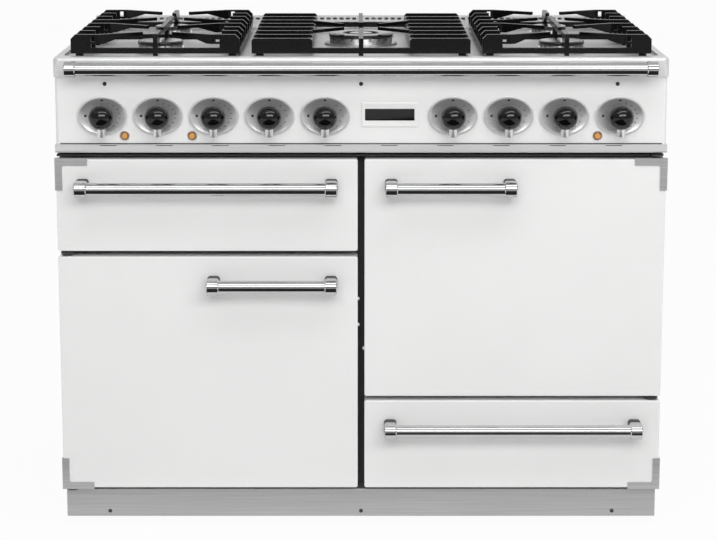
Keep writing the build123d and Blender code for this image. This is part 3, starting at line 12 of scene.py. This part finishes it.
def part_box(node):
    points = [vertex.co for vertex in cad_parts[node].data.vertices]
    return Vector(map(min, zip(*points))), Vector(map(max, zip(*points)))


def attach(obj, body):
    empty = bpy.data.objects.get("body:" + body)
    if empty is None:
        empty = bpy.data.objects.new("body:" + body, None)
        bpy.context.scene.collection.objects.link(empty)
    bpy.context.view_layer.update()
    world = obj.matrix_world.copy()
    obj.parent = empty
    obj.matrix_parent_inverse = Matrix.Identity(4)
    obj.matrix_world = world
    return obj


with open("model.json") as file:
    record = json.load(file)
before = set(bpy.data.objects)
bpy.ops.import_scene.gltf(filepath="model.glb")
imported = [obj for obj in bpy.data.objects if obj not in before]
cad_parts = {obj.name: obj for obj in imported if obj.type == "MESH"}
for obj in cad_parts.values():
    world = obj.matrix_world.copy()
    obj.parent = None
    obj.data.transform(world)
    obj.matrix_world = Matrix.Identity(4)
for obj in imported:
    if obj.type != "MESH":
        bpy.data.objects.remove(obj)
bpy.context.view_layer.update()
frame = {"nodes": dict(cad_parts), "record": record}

# A millimetre in the frame's metres
MM = 0.001

# Knobs and lamps of the control panel, which more than one section uses
KNOB_X = [x * MM for x in (-460, -361, -262, -163, -64, 163, 262, 361, 460)]
GAS_KNOBS = (4, 5, 6, 7, 8)
lamp_low, lamp_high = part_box("indicator_lamps")
LAMPS = [Vector((x * MM, lamp_low.y, (lamp_low.z + lamp_high.z) / 2)) for x in (-421, -301, 421)]
LENS_R = 7.6 * MM
LENS_RING = 1.5 * MM


# Material helpers: every pattern is read in the piece's own coordinates, in metres
def surface(name, **sockets):
    """Material whose shader has these values, with _ for a space in a socket's name."""
    made = bpy.data.materials.new(name)
    made.use_nodes = True
    shader = made.node_tree.nodes["Principled BSDF"]
    for socket, value in sockets.items():
        shader.inputs[socket.replace("_", " ")].default_value = value
    return made


def add_node(made, kind, **values):
    """New node with values on its inputs: a link for another node's output, or a number."""
    node = made.node_tree.nodes.new(kind)
    for socket, value in values.items():
        target = node.inputs[socket.replace("_", " ")]
        if isinstance(value, bpy.types.NodeSocket):
            made.node_tree.links.new(value, target)
        else:
            target.default_value = value
    return node


def stretched(made, scale):
    """Object coordinates multiplied by a scale on each axis."""
    place = made.node_tree.nodes.new("ShaderNodeTexCoord")
    mapping = add_node(made, "ShaderNodeMapping", Vector=place.outputs["Object"], Scale=scale)
    return mapping.outputs["Vector"]


def noise(made, scale, detail=3.0):
    """Cloudy noise with features of about 1 / scale metres on each axis."""
    texture = add_node(
        made, "ShaderNodeTexNoise", Vector=stretched(made, scale), Scale=1.0, Detail=detail
    )
    return texture.outputs["Fac"]


def cells(made, scale):
    """A random colour for each cell of about 1 / scale metres."""
    texture = add_node(made, "ShaderNodeTexVoronoi", Vector=stretched(made, scale), Scale=1.0)
    return texture.outputs["Color"]


def shades(made, source, *stops):
    """Colour ramp through stops of a position and a colour."""
    node = add_node(made, "ShaderNodeValToRGB", Fac=source)
    elements = node.color_ramp.elements
    while len(elements) < len(stops):
        elements.new(0.5)
    for element, (position, colour) in zip(elements, stops):
        element.position = position
        element.color = (*colour, 1.0)
    return node.outputs["Color"]


def between(made, source, low, high):
    """A pattern carried to another range: its 0 gives the low value and its 1 the high one."""
    node = made.node_tree.nodes.new("ShaderNodeMath")
    node.operation = "MULTIPLY_ADD"
    made.node_tree.links.new(source, node.inputs[0])
    node.inputs[1].default_value = high - low
    node.inputs[2].default_value = low
    return node.outputs["Value"]


def smaller(made, first, second):
    """The smaller of two patterns at each point."""
    node = made.node_tree.nodes.new("ShaderNodeMath")
    node.operation = "MINIMUM"
    made.node_tree.links.new(first, node.inputs[0])
    made.node_tree.links.new(second, node.inputs[1])
    return node.outputs["Value"]


def connect(made, socket, source):
    """Feed one of the shader's sockets."""
    shader = made.node_tree.nodes["Principled BSDF"]
    made.node_tree.links.new(source, shader.inputs[socket])


def relief(made, source, depth):
    """Raise and sink the surface by a depth in metres."""
    bump = add_node(made, "ShaderNodeBump", Height=source, Distance=depth, Strength=1.0)
    connect(made, "Normal", bump.outputs["Normal"])


def enamel(name, dark, light, rough, peel=0.00002, coat=0.4):
    """Fired enamel: faint clouds in its colour and gloss, and a fine orange-peel relief."""
    made = surface(name, Coat_Weight=coat, Coat_Roughness=0.05)
    clouds = noise(made, (5, 5, 5))
    connect(made, "Base Color", shades(made, clouds, (0.3, dark), (0.7, light)))
    connect(made, "Roughness", between(made, noise(made, (23, 23, 23)), *rough))
    relief(made, noise(made, (240, 240, 240)), peel)
    return made


def speckled(name, ground, fleck, rough):
    """Vitreous oven enamel: a dark ground with pale flecks under a glossy skin."""
    made = surface(name, Coat_Weight=0.5, Coat_Roughness=0.08)
    flecks = add_node(made, "ShaderNodeTexVoronoi", Vector=stretched(made, (260, 260, 260)), Scale=1.0)
    connect(
        made, "Base Color", shades(made, flecks.outputs["Distance"], (0.10, fleck), (0.22, ground))
    )
    connect(made, "Roughness", between(made, noise(made, (30, 30, 30)), *rough))
    relief(made, noise(made, (90, 90, 90)), 0.00005)
    return made


def brushed(name, dark, light, rough, grain, metallic=1.0):
    """Brushed metal: fine lines along one axis in its colour, gloss and relief."""
    made = surface(name, Metallic=metallic)
    lines = noise(made, grain, detail=6.0)
    connect(made, "Base Color", shades(made, lines, (0.3, dark), (0.7, light)))
    connect(made, "Roughness", between(made, lines, *rough))
    relief(made, lines, 0.000005)
    return made


def polished(name, dark, light, rough):
    """Plated or turned metal with faint smears in its gloss."""
    made = surface(name, Metallic=1.0)
    smears = noise(made, (14, 14, 40), detail=1.0)
    connect(made, "Base Color", shades(made, smears, (0.3, dark), (0.7, light)))
    connect(made, "Roughness", between(made, smears, *rough))
    return made


def cast(name, dark, light, rough, grain, depth, metallic=0.0, coat=0.0, specular=0.5):
    """Cast surface: a sandy relief, with uneven gloss."""
    made = surface(
        name, Metallic=metallic, Coat_Weight=coat, Coat_Roughness=0.12, Specular_IOR_Level=specular
    )
    sand = noise(made, (grain, grain, grain), detail=5.0)
    connect(made, "Base Color", shades(made, sand, (0.3, dark), (0.7, light)))
    connect(made, "Roughness", between(made, noise(made, (60, 60, 60)), *rough))
    relief(made, sand, depth)
    return made


def spangled(name, dark, light, rough):
    """Zinc-coated sheet with its crystal spangle."""
    made = surface(name, Metallic=1.0)
    spangle = cells(made, (55, 55, 55))
    connect(made, "Base Color", shades(made, spangle, (0.0, dark), (1.0, light)))
    connect(made, "Roughness", between(made, spangle, *rough))
    return made


def lens(name, core, border, rough, centres):
    """Moulded lamp lens: fine rings, and a colour that deepens towards each lens's border."""
    made = surface(name, Coat_Weight=0.4, Coat_Roughness=0.05)
    place = made.node_tree.nodes.new("ShaderNodeTexCoord").outputs["Object"]
    distances = []
    for centre in centres:
        away = made.node_tree.nodes.new("ShaderNodeVectorMath")
        away.operation = "DISTANCE"
        made.node_tree.links.new(place, away.inputs[0])
        away.inputs[1].default_value = centre
        distances.append(away.outputs["Value"])
    nearest = distances[0]
    for distance in distances[1:]:
        nearest = smaller(made, nearest, distance)
    share = between(made, nearest, 0, 1 / LENS_R)
    connect(made, "Base Color", shades(made, share, (0.45, core), (0.85, border)))
    connect(made, "Roughness", between(made, noise(made, (300, 300, 300)), *rough))
    rings = made.node_tree.nodes.new("ShaderNodeMath")
    rings.operation = "SINE"
    made.node_tree.links.new(between(made, nearest, 0, tau / LENS_RING), rings.inputs[0])
    relief(made, rings.outputs["Value"], 0.00006)
    return made


def grey(level):
    """Colour of one level in red, green and blue."""
    return (level, level, level)


# One finish for each material slot of the record
FINISHES = {
    "white_enamel": enamel("white_enamel", (0.815, 0.815, 0.81), (0.835, 0.835, 0.83), (0.25, 0.28)),
    "charcoal_paint": cast("charcoal_paint", grey(0.040), grey(0.055), (0.46, 0.58), 900, 0.00004),
    "oven_enamel": speckled("oven_enamel", (0.012, 0.013, 0.016), (0.10, 0.11, 0.13), (0.16, 0.30)),
    "stainless": brushed("stainless", grey(0.68), grey(0.82), (0.34, 0.44), (4, 900, 900), 0.45),
    "satin_steel": brushed("satin_steel", grey(0.45), grey(0.57), (0.36, 0.44), (5, 700, 700), 0.85),
    "satin_alloy": brushed("satin_alloy", grey(0.82), grey(0.90), (0.28, 0.34), (6, 500, 500), 0.8),
    "zinc_steel": spangled("zinc_steel", (0.40, 0.41, 0.42), (0.60, 0.61, 0.62), (0.34, 0.52)),
    "chrome": polished("chrome", (0.54, 0.54, 0.55), (0.60, 0.60, 0.61), (0.05, 0.07)),
    "black_cast": cast(
        "black_cast", grey(0.002), grey(0.005), (0.20, 0.32), 700, 0.00006, specular=0.24
    ),
    "burner_alloy": cast(
        "burner_alloy", grey(0.46), grey(0.62), (0.30, 0.46), 1200, 0.00004, metallic=1.0
    ),
    "cap_enamel": cast("cap_enamel", grey(0.008), grey(0.016), (0.14, 0.22), 500, 0.00002, coat=0.6),
    "knob_black": enamel("knob_black", grey(0.002), grey(0.004), (0.07, 0.10), 0.00001, coat=0.0),
    "amber_lens": lens("amber_lens", (0.68, 0.34, 0.09), (0.27, 0.10, 0.025), (0.14, 0.22), LAMPS),
    "tap_brass": polished("tap_brass", (0.56, 0.40, 0.16), (0.70, 0.53, 0.26), (0.22, 0.38)),
    "pipe_alloy": polished("pipe_alloy", grey(0.52), grey(0.66), (0.26, 0.40)),
    "foot_black": cast("foot_black", grey(0.020), grey(0.034), (0.55, 0.75), 800, 0.00005),
}
for subpart in frame["record"]["subparts"]:
    node = frame["nodes"][subpart["node"]]
    if not node.material_slots:
        node.data.materials.append(None)
    for slot in node.material_slots:
        slot.material = FINISHES[subpart["material_slot"]]

# The corner caps are of the plinth's brushed steel, painted paler: painted light, so that they read
# brighter than the plinth
painted_light_cap_steel = brushed("painted_light_cap_steel", grey(0.56), grey(0.70), (0.36, 0.44), (5, 700, 700), 0.85)
for front in ("left_door", "right_door", "grill", "drawer"):
    frame["nodes"][f"{front}_corner"].material_slots[0].material = painted_light_cap_steel

# Worn edges on the cast and folded pieces, in mm
SOFT_EDGES = {
    "pan_support_left": 1.4,
    "pan_support_middle": 1.4,
    "pan_support_right": 1.4,
    "burner_caps": 0.8,
    "burner_bases": 0.8,
    "plinth": 1.0,
    "hob_tray": 0.5,
}
WELD_REACH = 0.01
EDGE_ANGLE = radians(40)
for name, width in SOFT_EDGES.items():
    frame["nodes"][name].modifiers.new("weld", "WELD").merge_threshold = WELD_REACH * MM
    bevel = frame["nodes"][name].modifiers.new("edges", "BEVEL")
    bevel.width = width * MM
    bevel.segments = 2
    bevel.limit_method = "ANGLE"
    bevel.angle_limit = EDGE_ANGLE


# Piece helpers, with the angle that keeps an edge sharp and the least corner radius in mm
SHARP_ANGLE = radians(38)
CORNER_LEAST = 0.3


def piece(name, shape, finish, body, material=None):
    """Finish a bmesh as a piece that rides on a body, in the finish of one of the record's slots or in a
    material of its own.
    """
    bmesh.ops.recalc_face_normals(shape, faces=shape.faces)
    mesh = bpy.data.meshes.new(name)
    shape.to_mesh(mesh)
    shape.free()
    mesh.materials.append(material or FINISHES[finish])
    mesh.shade_smooth()
    mesh.set_sharp_from_angle(angle=SHARP_ANGLE)
    made = bpy.data.objects.new(name, mesh)
    bpy.context.scene.collection.objects.link(made)
    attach(made, body)


def lathe(shape, profile, origin, axis, sides=32, lobes=None):
    """Turn a profile of (radius, height) in mm about an axis; one that ends off the axis is a ring.

    lobes maps a profile point's number to how far its radius swings, which gives a cross recess.
    """
    turn = Vector((0, 0, 1)).rotation_difference(Vector(axis)).to_matrix().to_4x4()
    place = Matrix.Translation(origin) @ turn @ Matrix.Scale(MM, 4)
    lobes = lobes or {}
    rings = []
    for number, (radius, height) in enumerate(profile):
        ring = []
        for side in range(sides if radius else 1):
            angle = tau * side / sides
            reach = radius - lobes.get(number, 0) * (1 - abs(cos(2 * angle)) ** 3)
            ring.append(shape.verts.new(place @ Vector((reach * cos(angle), reach * sin(angle), height))))
        rings.append(ring)
    if profile[0][0] and profile[-1][0]:
        rings.append(rings[0])
    for low, high in zip(rings, rings[1:]):
        for side in range(sides):
            after = (side + 1) % sides
            corners = []
            for ring, picks in ((low, (side, after)), (high, (after, side))):
                corners += [ring[0]] if len(ring) == 1 else [ring[pick] for pick in picks]
            shape.faces.new(corners)


def loop_path(half_x, half_z, radius, steps=10):
    """Points round a rectangle with rounded corners, about its middle, in mm."""
    points = []
    for quarter, (sx, sz) in enumerate(((1, 1), (-1, 1), (-1, -1), (1, -1))):
        for step in range(steps + 1):
            angle = (quarter + step / steps) * pi / 2
            x = sx * (half_x - radius) + radius * cos(angle)
            z = sz * (half_z - radius) + radius * sin(angle)
            points.append((x, z))
    return points


def plate(shape, centre, size, corner, levels):
    """Rounded plate on a front-facing surface: levels of (inset, height) in mm from its foot up."""
    rings = []
    for inset, height in levels:
        half_x, half_z = size[0] / 2 - inset, size[1] / 2 - inset
        path = loop_path(half_x, half_z, max(corner - inset, CORNER_LEAST))
        y = centre[1] - height * MM
        rings.append([shape.verts.new((centre[0] + x * MM, y, centre[2] + z * MM)) for x, z in path])
    for low, high in zip(rings, rings[1:]):
        for side in range(len(low)):
            after = (side + 1) % len(low)
            shape.faces.new((low[side], low[after], high[after], high[side]))
    shape.faces.new(rings[0])
    shape.faces.new(rings[-1])


def strip(name, section, left, right, finish):
    """Straight strip between two places across the cooker, from a section of (y, z) in metres."""
    shape = bmesh.new()
    ends = [[shape.verts.new((x, y, z)) for y, z in section] for x in (left, right)]
    for number in range(len(section)):
        after = (number + 1) % len(section)
        shape.faces.new((ends[0][number], ends[0][after], ends[1][after], ends[1][number]))
    for end in ends:
        shape.faces.new(end)
    piece(name, shape, finish, "cabinet")


# Pan head with a cross recess in its top: the lobes are at two of its points
SCREW = [(0, 0), (3.6, 0), (3.6, 0.5), (3.1, 1.3), (2.4, 1.7), (2.0, 1.8), (1.7, 0.9), (0, 0.7)]
SCREW_LOBES = {5: 1.1, 6: 1.1}


def screws(name, points, axis, finish, body):
    """Pan-head screws with a cross recess, on one face."""
    shape = bmesh.new()
    for point in points:
        lathe(shape, SCREW, point, axis, sides=24, lobes=SCREW_LOBES)
    piece(name, shape, finish, body)


# Fittings on the control panel, with profiles and levels in mm
FRONTWARDS, REARWARDS, UPWARDS, DOWNWARDS = (0, -1, 0), (0, 1, 0), (0, 0, 1), (0, 0, -1)
BALL_R = 22 * MM
POINTER = [(0, 17.0), (7.0, 17.0), (7.0, 33.6), (6.5, 34.5), (5.6, 34.8), (0, 34.8)]
LAMP_RIM = [(7.6, 0), (9.0, 0), (8.9, 1.3), (8.3, 2.0), (7.7, 1.7)]
BADGE_X, BADGE_Z = 51 * MM, 765 * MM
BADGE_SIZE, BADGE_CORNER = (102, 46), 3.0
BADGE_LEVELS = [(0, 0), (0, 0.9), (0.8, 1.6), (5.4, 2.0), (6.0, 1.7)]
INSET_SIZE, INSET_CORNER = (88, 21), 1.5
INSET_LEVELS = [(0, 1.4), (0, 2.0), (0.5, 2.3), (1.2, 2.35)]
PANEL_SCREW_X, PANEL_SCREW_Z = (-455, 0, 455), 820
PLINTH_SCREW_X, PLINTH_SCREW_RISE = (-462, 0, 462), 10

panel_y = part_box("control_panel")[0].y
knob_z = (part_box("tap_spindle_4")[0].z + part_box("tap_spindle_4")[1].z) / 2
ball_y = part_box("knob_1")[0].y + BALL_R
for number, x in enumerate(KNOB_X, start=1):
    shape = bmesh.new()
    lathe(shape, POINTER, (x, ball_y, knob_z), DOWNWARDS)
    piece(f"pointer_{number}", shape, "satin_alloy", f"knob_{number}")

shape = bmesh.new()
for lamp in LAMPS:
    lathe(shape, LAMP_RIM, (lamp.x, panel_y, lamp.z), FRONTWARDS)
piece("lamp_rims", shape, "satin_alloy", "cabinet")

badge_at = (BADGE_X, panel_y, BADGE_Z)
shape = bmesh.new()
plate(shape, badge_at, BADGE_SIZE, BADGE_CORNER, BADGE_LEVELS)
piece("badge_plate", shape, "white_enamel", "cabinet")
shape = bmesh.new()
plate(shape, badge_at, INSET_SIZE, INSET_CORNER, INSET_LEVELS)
piece("badge_inset", shape, "knob_black", "cabinet")

panel_screws = [(x * MM, panel_y, PANEL_SCREW_Z * MM) for x in PANEL_SCREW_X]
screws("panel_screws", panel_screws, FRONTWARDS, "foot_black", "cabinet")
plinth_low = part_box("plinth")[0]
plinth_screws = [(x * MM, plinth_low.y, plinth_low.z + PLINTH_SCREW_RISE * MM) for x in PLINTH_SCREW_X]
screws("plinth_screws", plinth_screws, FRONTWARDS, "charcoal_paint", "cabinet")

# Printed marks, laid on the dished bezels, in mm and degrees
MARK_FACE, MARK_BACK = 0.12, -0.08
OFF_MARK, OFF_OUT = (4.2, 4.2), 30
TOP_MARK, TOP_OUT = (4.2, 3.0), 28
SWEEP_MARK, SWEEP_ACROSS, SWEEP_UP = (3.4, 0.9), 31, 24
GAS_SWEEP, ELECTRIC_SWEEP = range(-50, 60, 25), range(-70, 80, 20)
RAY_START = 50 * MM
bezel_tree = BVHTree.FromObject(frame["nodes"]["knob_bezels"], bpy.context.evaluated_depsgraph_get())


def mark(shape, x, z, width, height, turn):
    """Thin printed patch that follows the dish: 3 by 3 points just above it and as many just in it."""
    spin = Matrix.Rotation(turn, 2)
    points = []
    for j in (-0.5, 0, 0.5):
        for i in (-0.5, 0, 0.5):
            across, up = spin @ Vector((i * width, j * height))
            start = Vector((x + across * MM, panel_y - RAY_START, z + up * MM))
            points.append(bezel_tree.ray_cast(start, Vector(REARWARDS))[0])
    if None in points:
        return
    face, back = (
        [shape.verts.new(point - Vector((0, lift * MM, 0))) for point in points]
        for lift in (MARK_FACE, MARK_BACK)
    )
    for corner in (0, 1, 3, 4):
        for sheet in (face, back):
            shape.faces.new([sheet[corner + step] for step in (0, 1, 4, 3)])
    border = (0, 1, 2, 5, 8, 7, 6, 3)
    for here, after in zip(border, border[1:] + border[:1]):
        shape.faces.new((face[here], face[after], back[after], back[here]))


shape = bmesh.new()
for number, x in enumerate(KNOB_X, start=1):
    mark(shape, x - OFF_OUT * MM, knob_z, *OFF_MARK, 0)
    mark(shape, x, knob_z + TOP_OUT * MM, *TOP_MARK, 0)
    for degrees in GAS_SWEEP if number in GAS_KNOBS else ELECTRIC_SWEEP:
        angle = radians(degrees)
        mark_x, mark_z = x + SWEEP_ACROSS * MM * cos(angle), knob_z + SWEEP_UP * MM * sin(angle)
        mark(shape, mark_x, mark_z, *SWEEP_MARK, angle)
piece("dial_marks", shape, "foot_black", "cabinet")

# Spark electrodes beside the burners: each burner's x, y and width in mm
BURNERS = [
    (-366.5, -133.7, 80),
    (-366.5, 141.7, 66),
    (0, 4, 118),
    (366.5, -133.7, 80),
    (366.5, 141.7, 66),
]
SKIRT_H = 20 * MM
ELECTRODE_GAP, ELECTRODE_TURN = 5.2, 20
CERAMIC = [(0, 0), (3.0, 0), (3.0, 2.0), (2.3, 2.6), (2.3, 9.0), (1.7, 10.2), (0, 10.2)]
TIP = [(0, 9), (0.9, 9), (0.9, 13.6), (0.5, 14.4), (0, 14.4)]
skirt_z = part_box("burner_bases")[0].z + SKIRT_H
ceramics, tips = bmesh.new(), bmesh.new()
for x, y, across in BURNERS:
    angle = radians(-ELECTRODE_TURN if x <= 0 else 180 + ELECTRODE_TURN)
    reach = across / 2 + ELECTRODE_GAP
    foot = (x * MM + reach * MM * cos(angle), y * MM + reach * MM * sin(angle), skirt_z)
    lathe(ceramics, CERAMIC, foot, UPWARDS, sides=20)
    lathe(tips, TIP, foot, UPWARDS, sides=12)
piece("electrode_ceramics", ceramics, "white_enamel", "cabinet")
piece("electrode_tips", tips, "zinc_steel", "cabinet")

# Woven seals round the oven mouths, in mm: the middle of each mouth and half its height
SEALS = {"left": (-275, 293, 175), "right": (275, 468, 180)}
SEAL_HALF_W, SEAL_MARGIN, SEAL_CORNER = 212, 12, 20
ROPE_HALF_W, ROPE_H, ROPE_STEPS = 4.4, 1.75, 7
rope = surface("seal_rope", Roughness=0.9)
weave = add_node(
    rope, "ShaderNodeTexWave", Vector=stretched(rope, (260, 260, 260)), Scale=1.0, Distortion=1.5
).outputs["Fac"]
connect(rope, "Base Color", shades(rope, weave, (0.2, grey(0.06)), (0.8, grey(0.16))))
relief(rope, weave, 0.0003)
frame_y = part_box("front_frame")[0].y
for side, (centre_x, centre_z, half_h) in SEALS.items():
    shape = bmesh.new()
    rings = []
    for x, z in loop_path(SEAL_HALF_W, half_h + SEAL_MARGIN, SEAL_CORNER):
        out = Vector((x, z)).normalized()
        ring = []
        for number in range(ROPE_STEPS + 1):
            angle = pi * number / ROPE_STEPS
            across, rise = ROPE_HALF_W * cos(angle), ROPE_H * sin(angle)
            rope_x, rope_z = centre_x + x + out.x * across, centre_z + z + out.y * across
            ring.append(shape.verts.new((rope_x * MM, frame_y - rise * MM, rope_z * MM)))
        rings.append(ring)
    for here, there in zip(rings, rings[1:] + rings[:1]):
        for number in range(ROPE_STEPS):
            shape.faces.new((here[number], here[number + 1], there[number + 1], there[number]))
        shape.faces.new((here[-1], here[0], there[0], there[-1]))
    piece(f"{side}_door_seal", shape, "charcoal_paint", "cabinet", rope)

# Air deflector in the gap above the fronts: a strip with its front edge folded down
DEFLECTOR_LEFT, DEFLECTOR_RIGHT = -544 * MM, 516 * MM
DEFLECTOR_SETBACK, DEFLECTOR_HALF_T = 14 * MM, 1.2 * MM
front_low, front_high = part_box("right_door_panel")
gap_z = (front_high.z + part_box("panel_trim")[0].z) / 2
lip_y = front_low.y + DEFLECTOR_SETBACK
lip = [
    (frame_y, gap_z + DEFLECTOR_HALF_T),
    (frame_y, gap_z - DEFLECTOR_HALF_T),
    (lip_y + 4 * MM, gap_z - DEFLECTOR_HALF_T),
    (lip_y + 1 * MM, gap_z - 2 * DEFLECTOR_HALF_T),
    (lip_y, gap_z - 1.6 * MM),
    (lip_y + 3 * MM, gap_z + DEFLECTOR_HALF_T),
]
strip("air_deflector", lip, DEFLECTOR_LEFT, DEFLECTOR_RIGHT, "charcoal_paint")

# Dark bead in the corner between the panel and the trim under it, painted shade along that corner in the
# form of a sealing bead: (y, z) in mm from the corner
SHADE_BEAD = [(0.2, -0.1), (-1.6, -0.1), (-1.6, 0.6), (-1.2, 1.3), (-0.5, 1.7), (0.2, 1.8)]
PANEL_CORNER_R = 8 * MM
panel_low, panel_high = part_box("control_panel")
ledge_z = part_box("panel_trim")[1].z
bead = [(panel_y + y * MM, ledge_z + z * MM) for y, z in SHADE_BEAD]
strip("panel_shade_bead", bead, panel_low.x + PANEL_CORNER_R, panel_high.x - PANEL_CORNER_R, "charcoal_paint")

# Sprung catches in the free edges of the oven doors, in mm below each door's top
PLUNGER = [(0, -2), (3.4, -2), (3.4, 0.6), (2.9, 2.2), (1.7, 3.4), (0, 3.8)]
CATCH_DROPS = {"left": (79, 127), "right": (348,)}
CATCH_SETBACK = 9 * MM
for side, drops in CATCH_DROPS.items():
    low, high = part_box(f"{side}_door_panel")
    edge, outward = (high.x, 1) if side == "left" else (low.x, -1)
    shape = bmesh.new()
    for drop in drops:
        place = (edge, low.y + CATCH_SETBACK, high.z - drop * MM)
        lathe(shape, PLUNGER, place, (outward, 0, 0), sides=20)
    piece(f"{side}_door_catches", shape, "satin_alloy", f"{side}_door")

# Dark covers on the handle posts, between the collars and the fronts: a painted dark reflection on the
# posts
HANDLE_BODIES = {
    "left_door_handle": "left_door",
    "right_door_handle": "right_door",
    "grill_handle": "grill_drawer",
    "drawer_handle": "storage_drawer",
}
POST_INSET = 11 * MM
POST_REFLECTION_SIZE, POST_REFLECTION_CORNER = (22.3, 27.8), 5.4
POST_REFLECTION_LEVELS = [(0, 0), (0, 17.5), (0.3, 18.0)]
for name, body in HANDLE_BODIES.items():
    low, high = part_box(name)
    shape = bmesh.new()
    for x in (low.x + POST_INSET, high.x - POST_INSET):
        post = (x, high.y, (low.z + high.z) / 2)
        plate(shape, post, POST_REFLECTION_SIZE, POST_REFLECTION_CORNER, POST_REFLECTION_LEVELS)
    # A dark cover over each post, which paints a dark reflection
    piece(f"{name}_painted_reflections", shape, "charcoal_paint", body)

# Rear fastenings
REAR_Y = 317.5 * MM
REAR_SCREW_X, REAR_SCREW_Z = (-530, -178, 178, 530), (84, 450, 818)
rear_screws = [(x * MM, REAR_Y, z * MM) for x in REAR_SCREW_X for z in REAR_SCREW_Z]
screws("rear_screws", rear_screws, REARWARDS, "zinc_steel", "cabinet")


# Stage: pale floor, studio light, cards that only reflections show, and the camera
def stage_plane(name, corners, material):
    """Flat stage piece through four corners."""
    mesh = bpy.data.meshes.new(name)
    mesh.from_pydata(corners, [], [(0, 1, 2, 3)])
    mesh.materials.append(material)
    made = bpy.data.objects.new(name, mesh)
    bpy.context.scene.collection.objects.link(made)
    return made


def level(x, y, z):
    """Corners of a level rectangle, from its ends on x and y."""
    return [(x[0], y[0], z), (x[1], y[0], z), (x[1], y[1], z), (x[0], y[1], z)]


def upright(x, y, z):
    """Corners of an upright rectangle, from its ends on x and z."""
    return [(x[0], y, z[0]), (x[1], y, z[0]), (x[1], y, z[1]), (x[0], y, z[1])]


def stage_finish(name, seen_share, mirrored_share):
    """Pale matt finish, white by one share to the camera and by another in reflections."""
    made = bpy.data.materials.new(name)
    made.use_nodes = True
    tree = made.node_tree
    tree.nodes.clear()
    output = tree.nodes.new("ShaderNodeOutputMaterial")
    blend = tree.nodes.new("ShaderNodeMixShader")
    diffuse = tree.nodes.new("ShaderNodeBsdfDiffuse")
    diffuse.inputs["Color"].default_value = (0.88, 0.88, 0.88, 1)
    white = tree.nodes.new("ShaderNodeEmission")
    ray = tree.nodes.new("ShaderNodeLightPath")
    mirrored = tree.nodes.new("ShaderNodeMath")
    mirrored.operation = "MULTIPLY"
    mirrored.inputs[1].default_value = mirrored_share
    share = tree.nodes.new("ShaderNodeMath")
    share.operation = "MULTIPLY_ADD"
    share.inputs[1].default_value = seen_share
    tree.links.new(ray.outputs["Is Glossy Ray"], mirrored.inputs[0])
    tree.links.new(ray.outputs["Is Camera Ray"], share.inputs[0])
    tree.links.new(mirrored.outputs[0], share.inputs[2])
    tree.links.new(share.outputs[0], blend.inputs["Fac"])
    tree.links.new(diffuse.outputs[0], blend.inputs[1])
    tree.links.new(white.outputs[0], blend.inputs[2])
    tree.links.new(blend.outputs[0], output.inputs["Surface"])
    return made


stage_plane("floor", level((-20, 20), (-20, 20), 0), stage_finish("floor", 0.95, 0.6))

dark_card = surface("flag", Base_Color=(0.012, 0.012, 0.012, 1), Roughness=1.0)
cards = [
    stage_plane("backdrop", upright((-6, 6), 2.6, (0, 4.5)), stage_finish("backdrop", 0.0, 0.5)),
    stage_plane("floor_flag", level((-1.1, 1.1), (-5, -0.55), 0.004), dark_card),
    stage_plane("ceiling", level((-3, 3), (-1.6, 1.2), 2.7), stage_finish("ceiling", 0.0, 0.22)),
]
for card in cards:
    card.visible_camera = False
    card.visible_diffuse = False
    card.visible_shadow = False
    card.visible_transmission = False

# White all round: full strength to the camera, less as light on the object and in reflections
WORLD_SEEN, WORLD_LIGHT, WORLD_MIRRORED = 1.0, 0.5, 0.3
world = bpy.data.worlds.new("studio")
world.use_nodes = True
bpy.context.scene.world = world
tree = world.node_tree
background = tree.nodes["Background"]
background.inputs["Color"].default_value = (1, 1, 1, 1)
ray = tree.nodes.new("ShaderNodeLightPath")
mirrored = tree.nodes.new("ShaderNodeMapRange")
mirrored.inputs["To Min"].default_value = WORLD_LIGHT
mirrored.inputs["To Max"].default_value = WORLD_MIRRORED
strength = tree.nodes.new("ShaderNodeMix")
strength.inputs["B"].default_value = WORLD_SEEN
tree.links.new(ray.outputs["Is Glossy Ray"], mirrored.inputs["Value"])
tree.links.new(mirrored.outputs["Result"], strength.inputs["A"])
tree.links.new(ray.outputs["Is Camera Ray"], strength.inputs["Factor"])
tree.links.new(strength.outputs["Result"], background.inputs["Strength"])


def softbox(name, place, target, width, height, power):
    """Rectangular lamp at a place, aimed at a target."""
    lamp = bpy.data.lights.new(name, "AREA")
    lamp.shape = "RECTANGLE"
    lamp.size, lamp.size_y = width, height
    lamp.energy = power
    made = bpy.data.objects.new(name, lamp)
    made.location = place
    made.rotation_euler = (Vector(target) - Vector(place)).to_track_quat("-Z", "Y").to_euler()
    bpy.context.scene.collection.objects.link(made)


softbox("key", (0.8, -4.2, 2.9), target=(0.1, -0.2, 0.6), width=5.2, height=1.3, power=108)
softbox("overhead", (0.3, -1.25, 2.6), target=(0.0, -0.2, 0.6), width=3.2, height=0.3, power=12)

# Camera at the photograph's viewing angle, with its tilt below level in radians
CAMERA_PLACE = (-0.0055, -4.076, 1.296)
CAMERA_TILT = 0.18388
camera = bpy.data.cameras.new("camera")
camera.lens = 108.65
camera.sensor_width = 36.0
camera.shift_y = -0.08
viewer = bpy.data.objects.new("camera", camera)
viewer.location = CAMERA_PLACE
viewer.rotation_euler = (pi / 2 - CAMERA_TILT, 0, 0)
bpy.context.scene.collection.objects.link(viewer)
bpy.context.scene.camera = viewer
bpy.context.scene.view_settings.view_transform = "Standard"
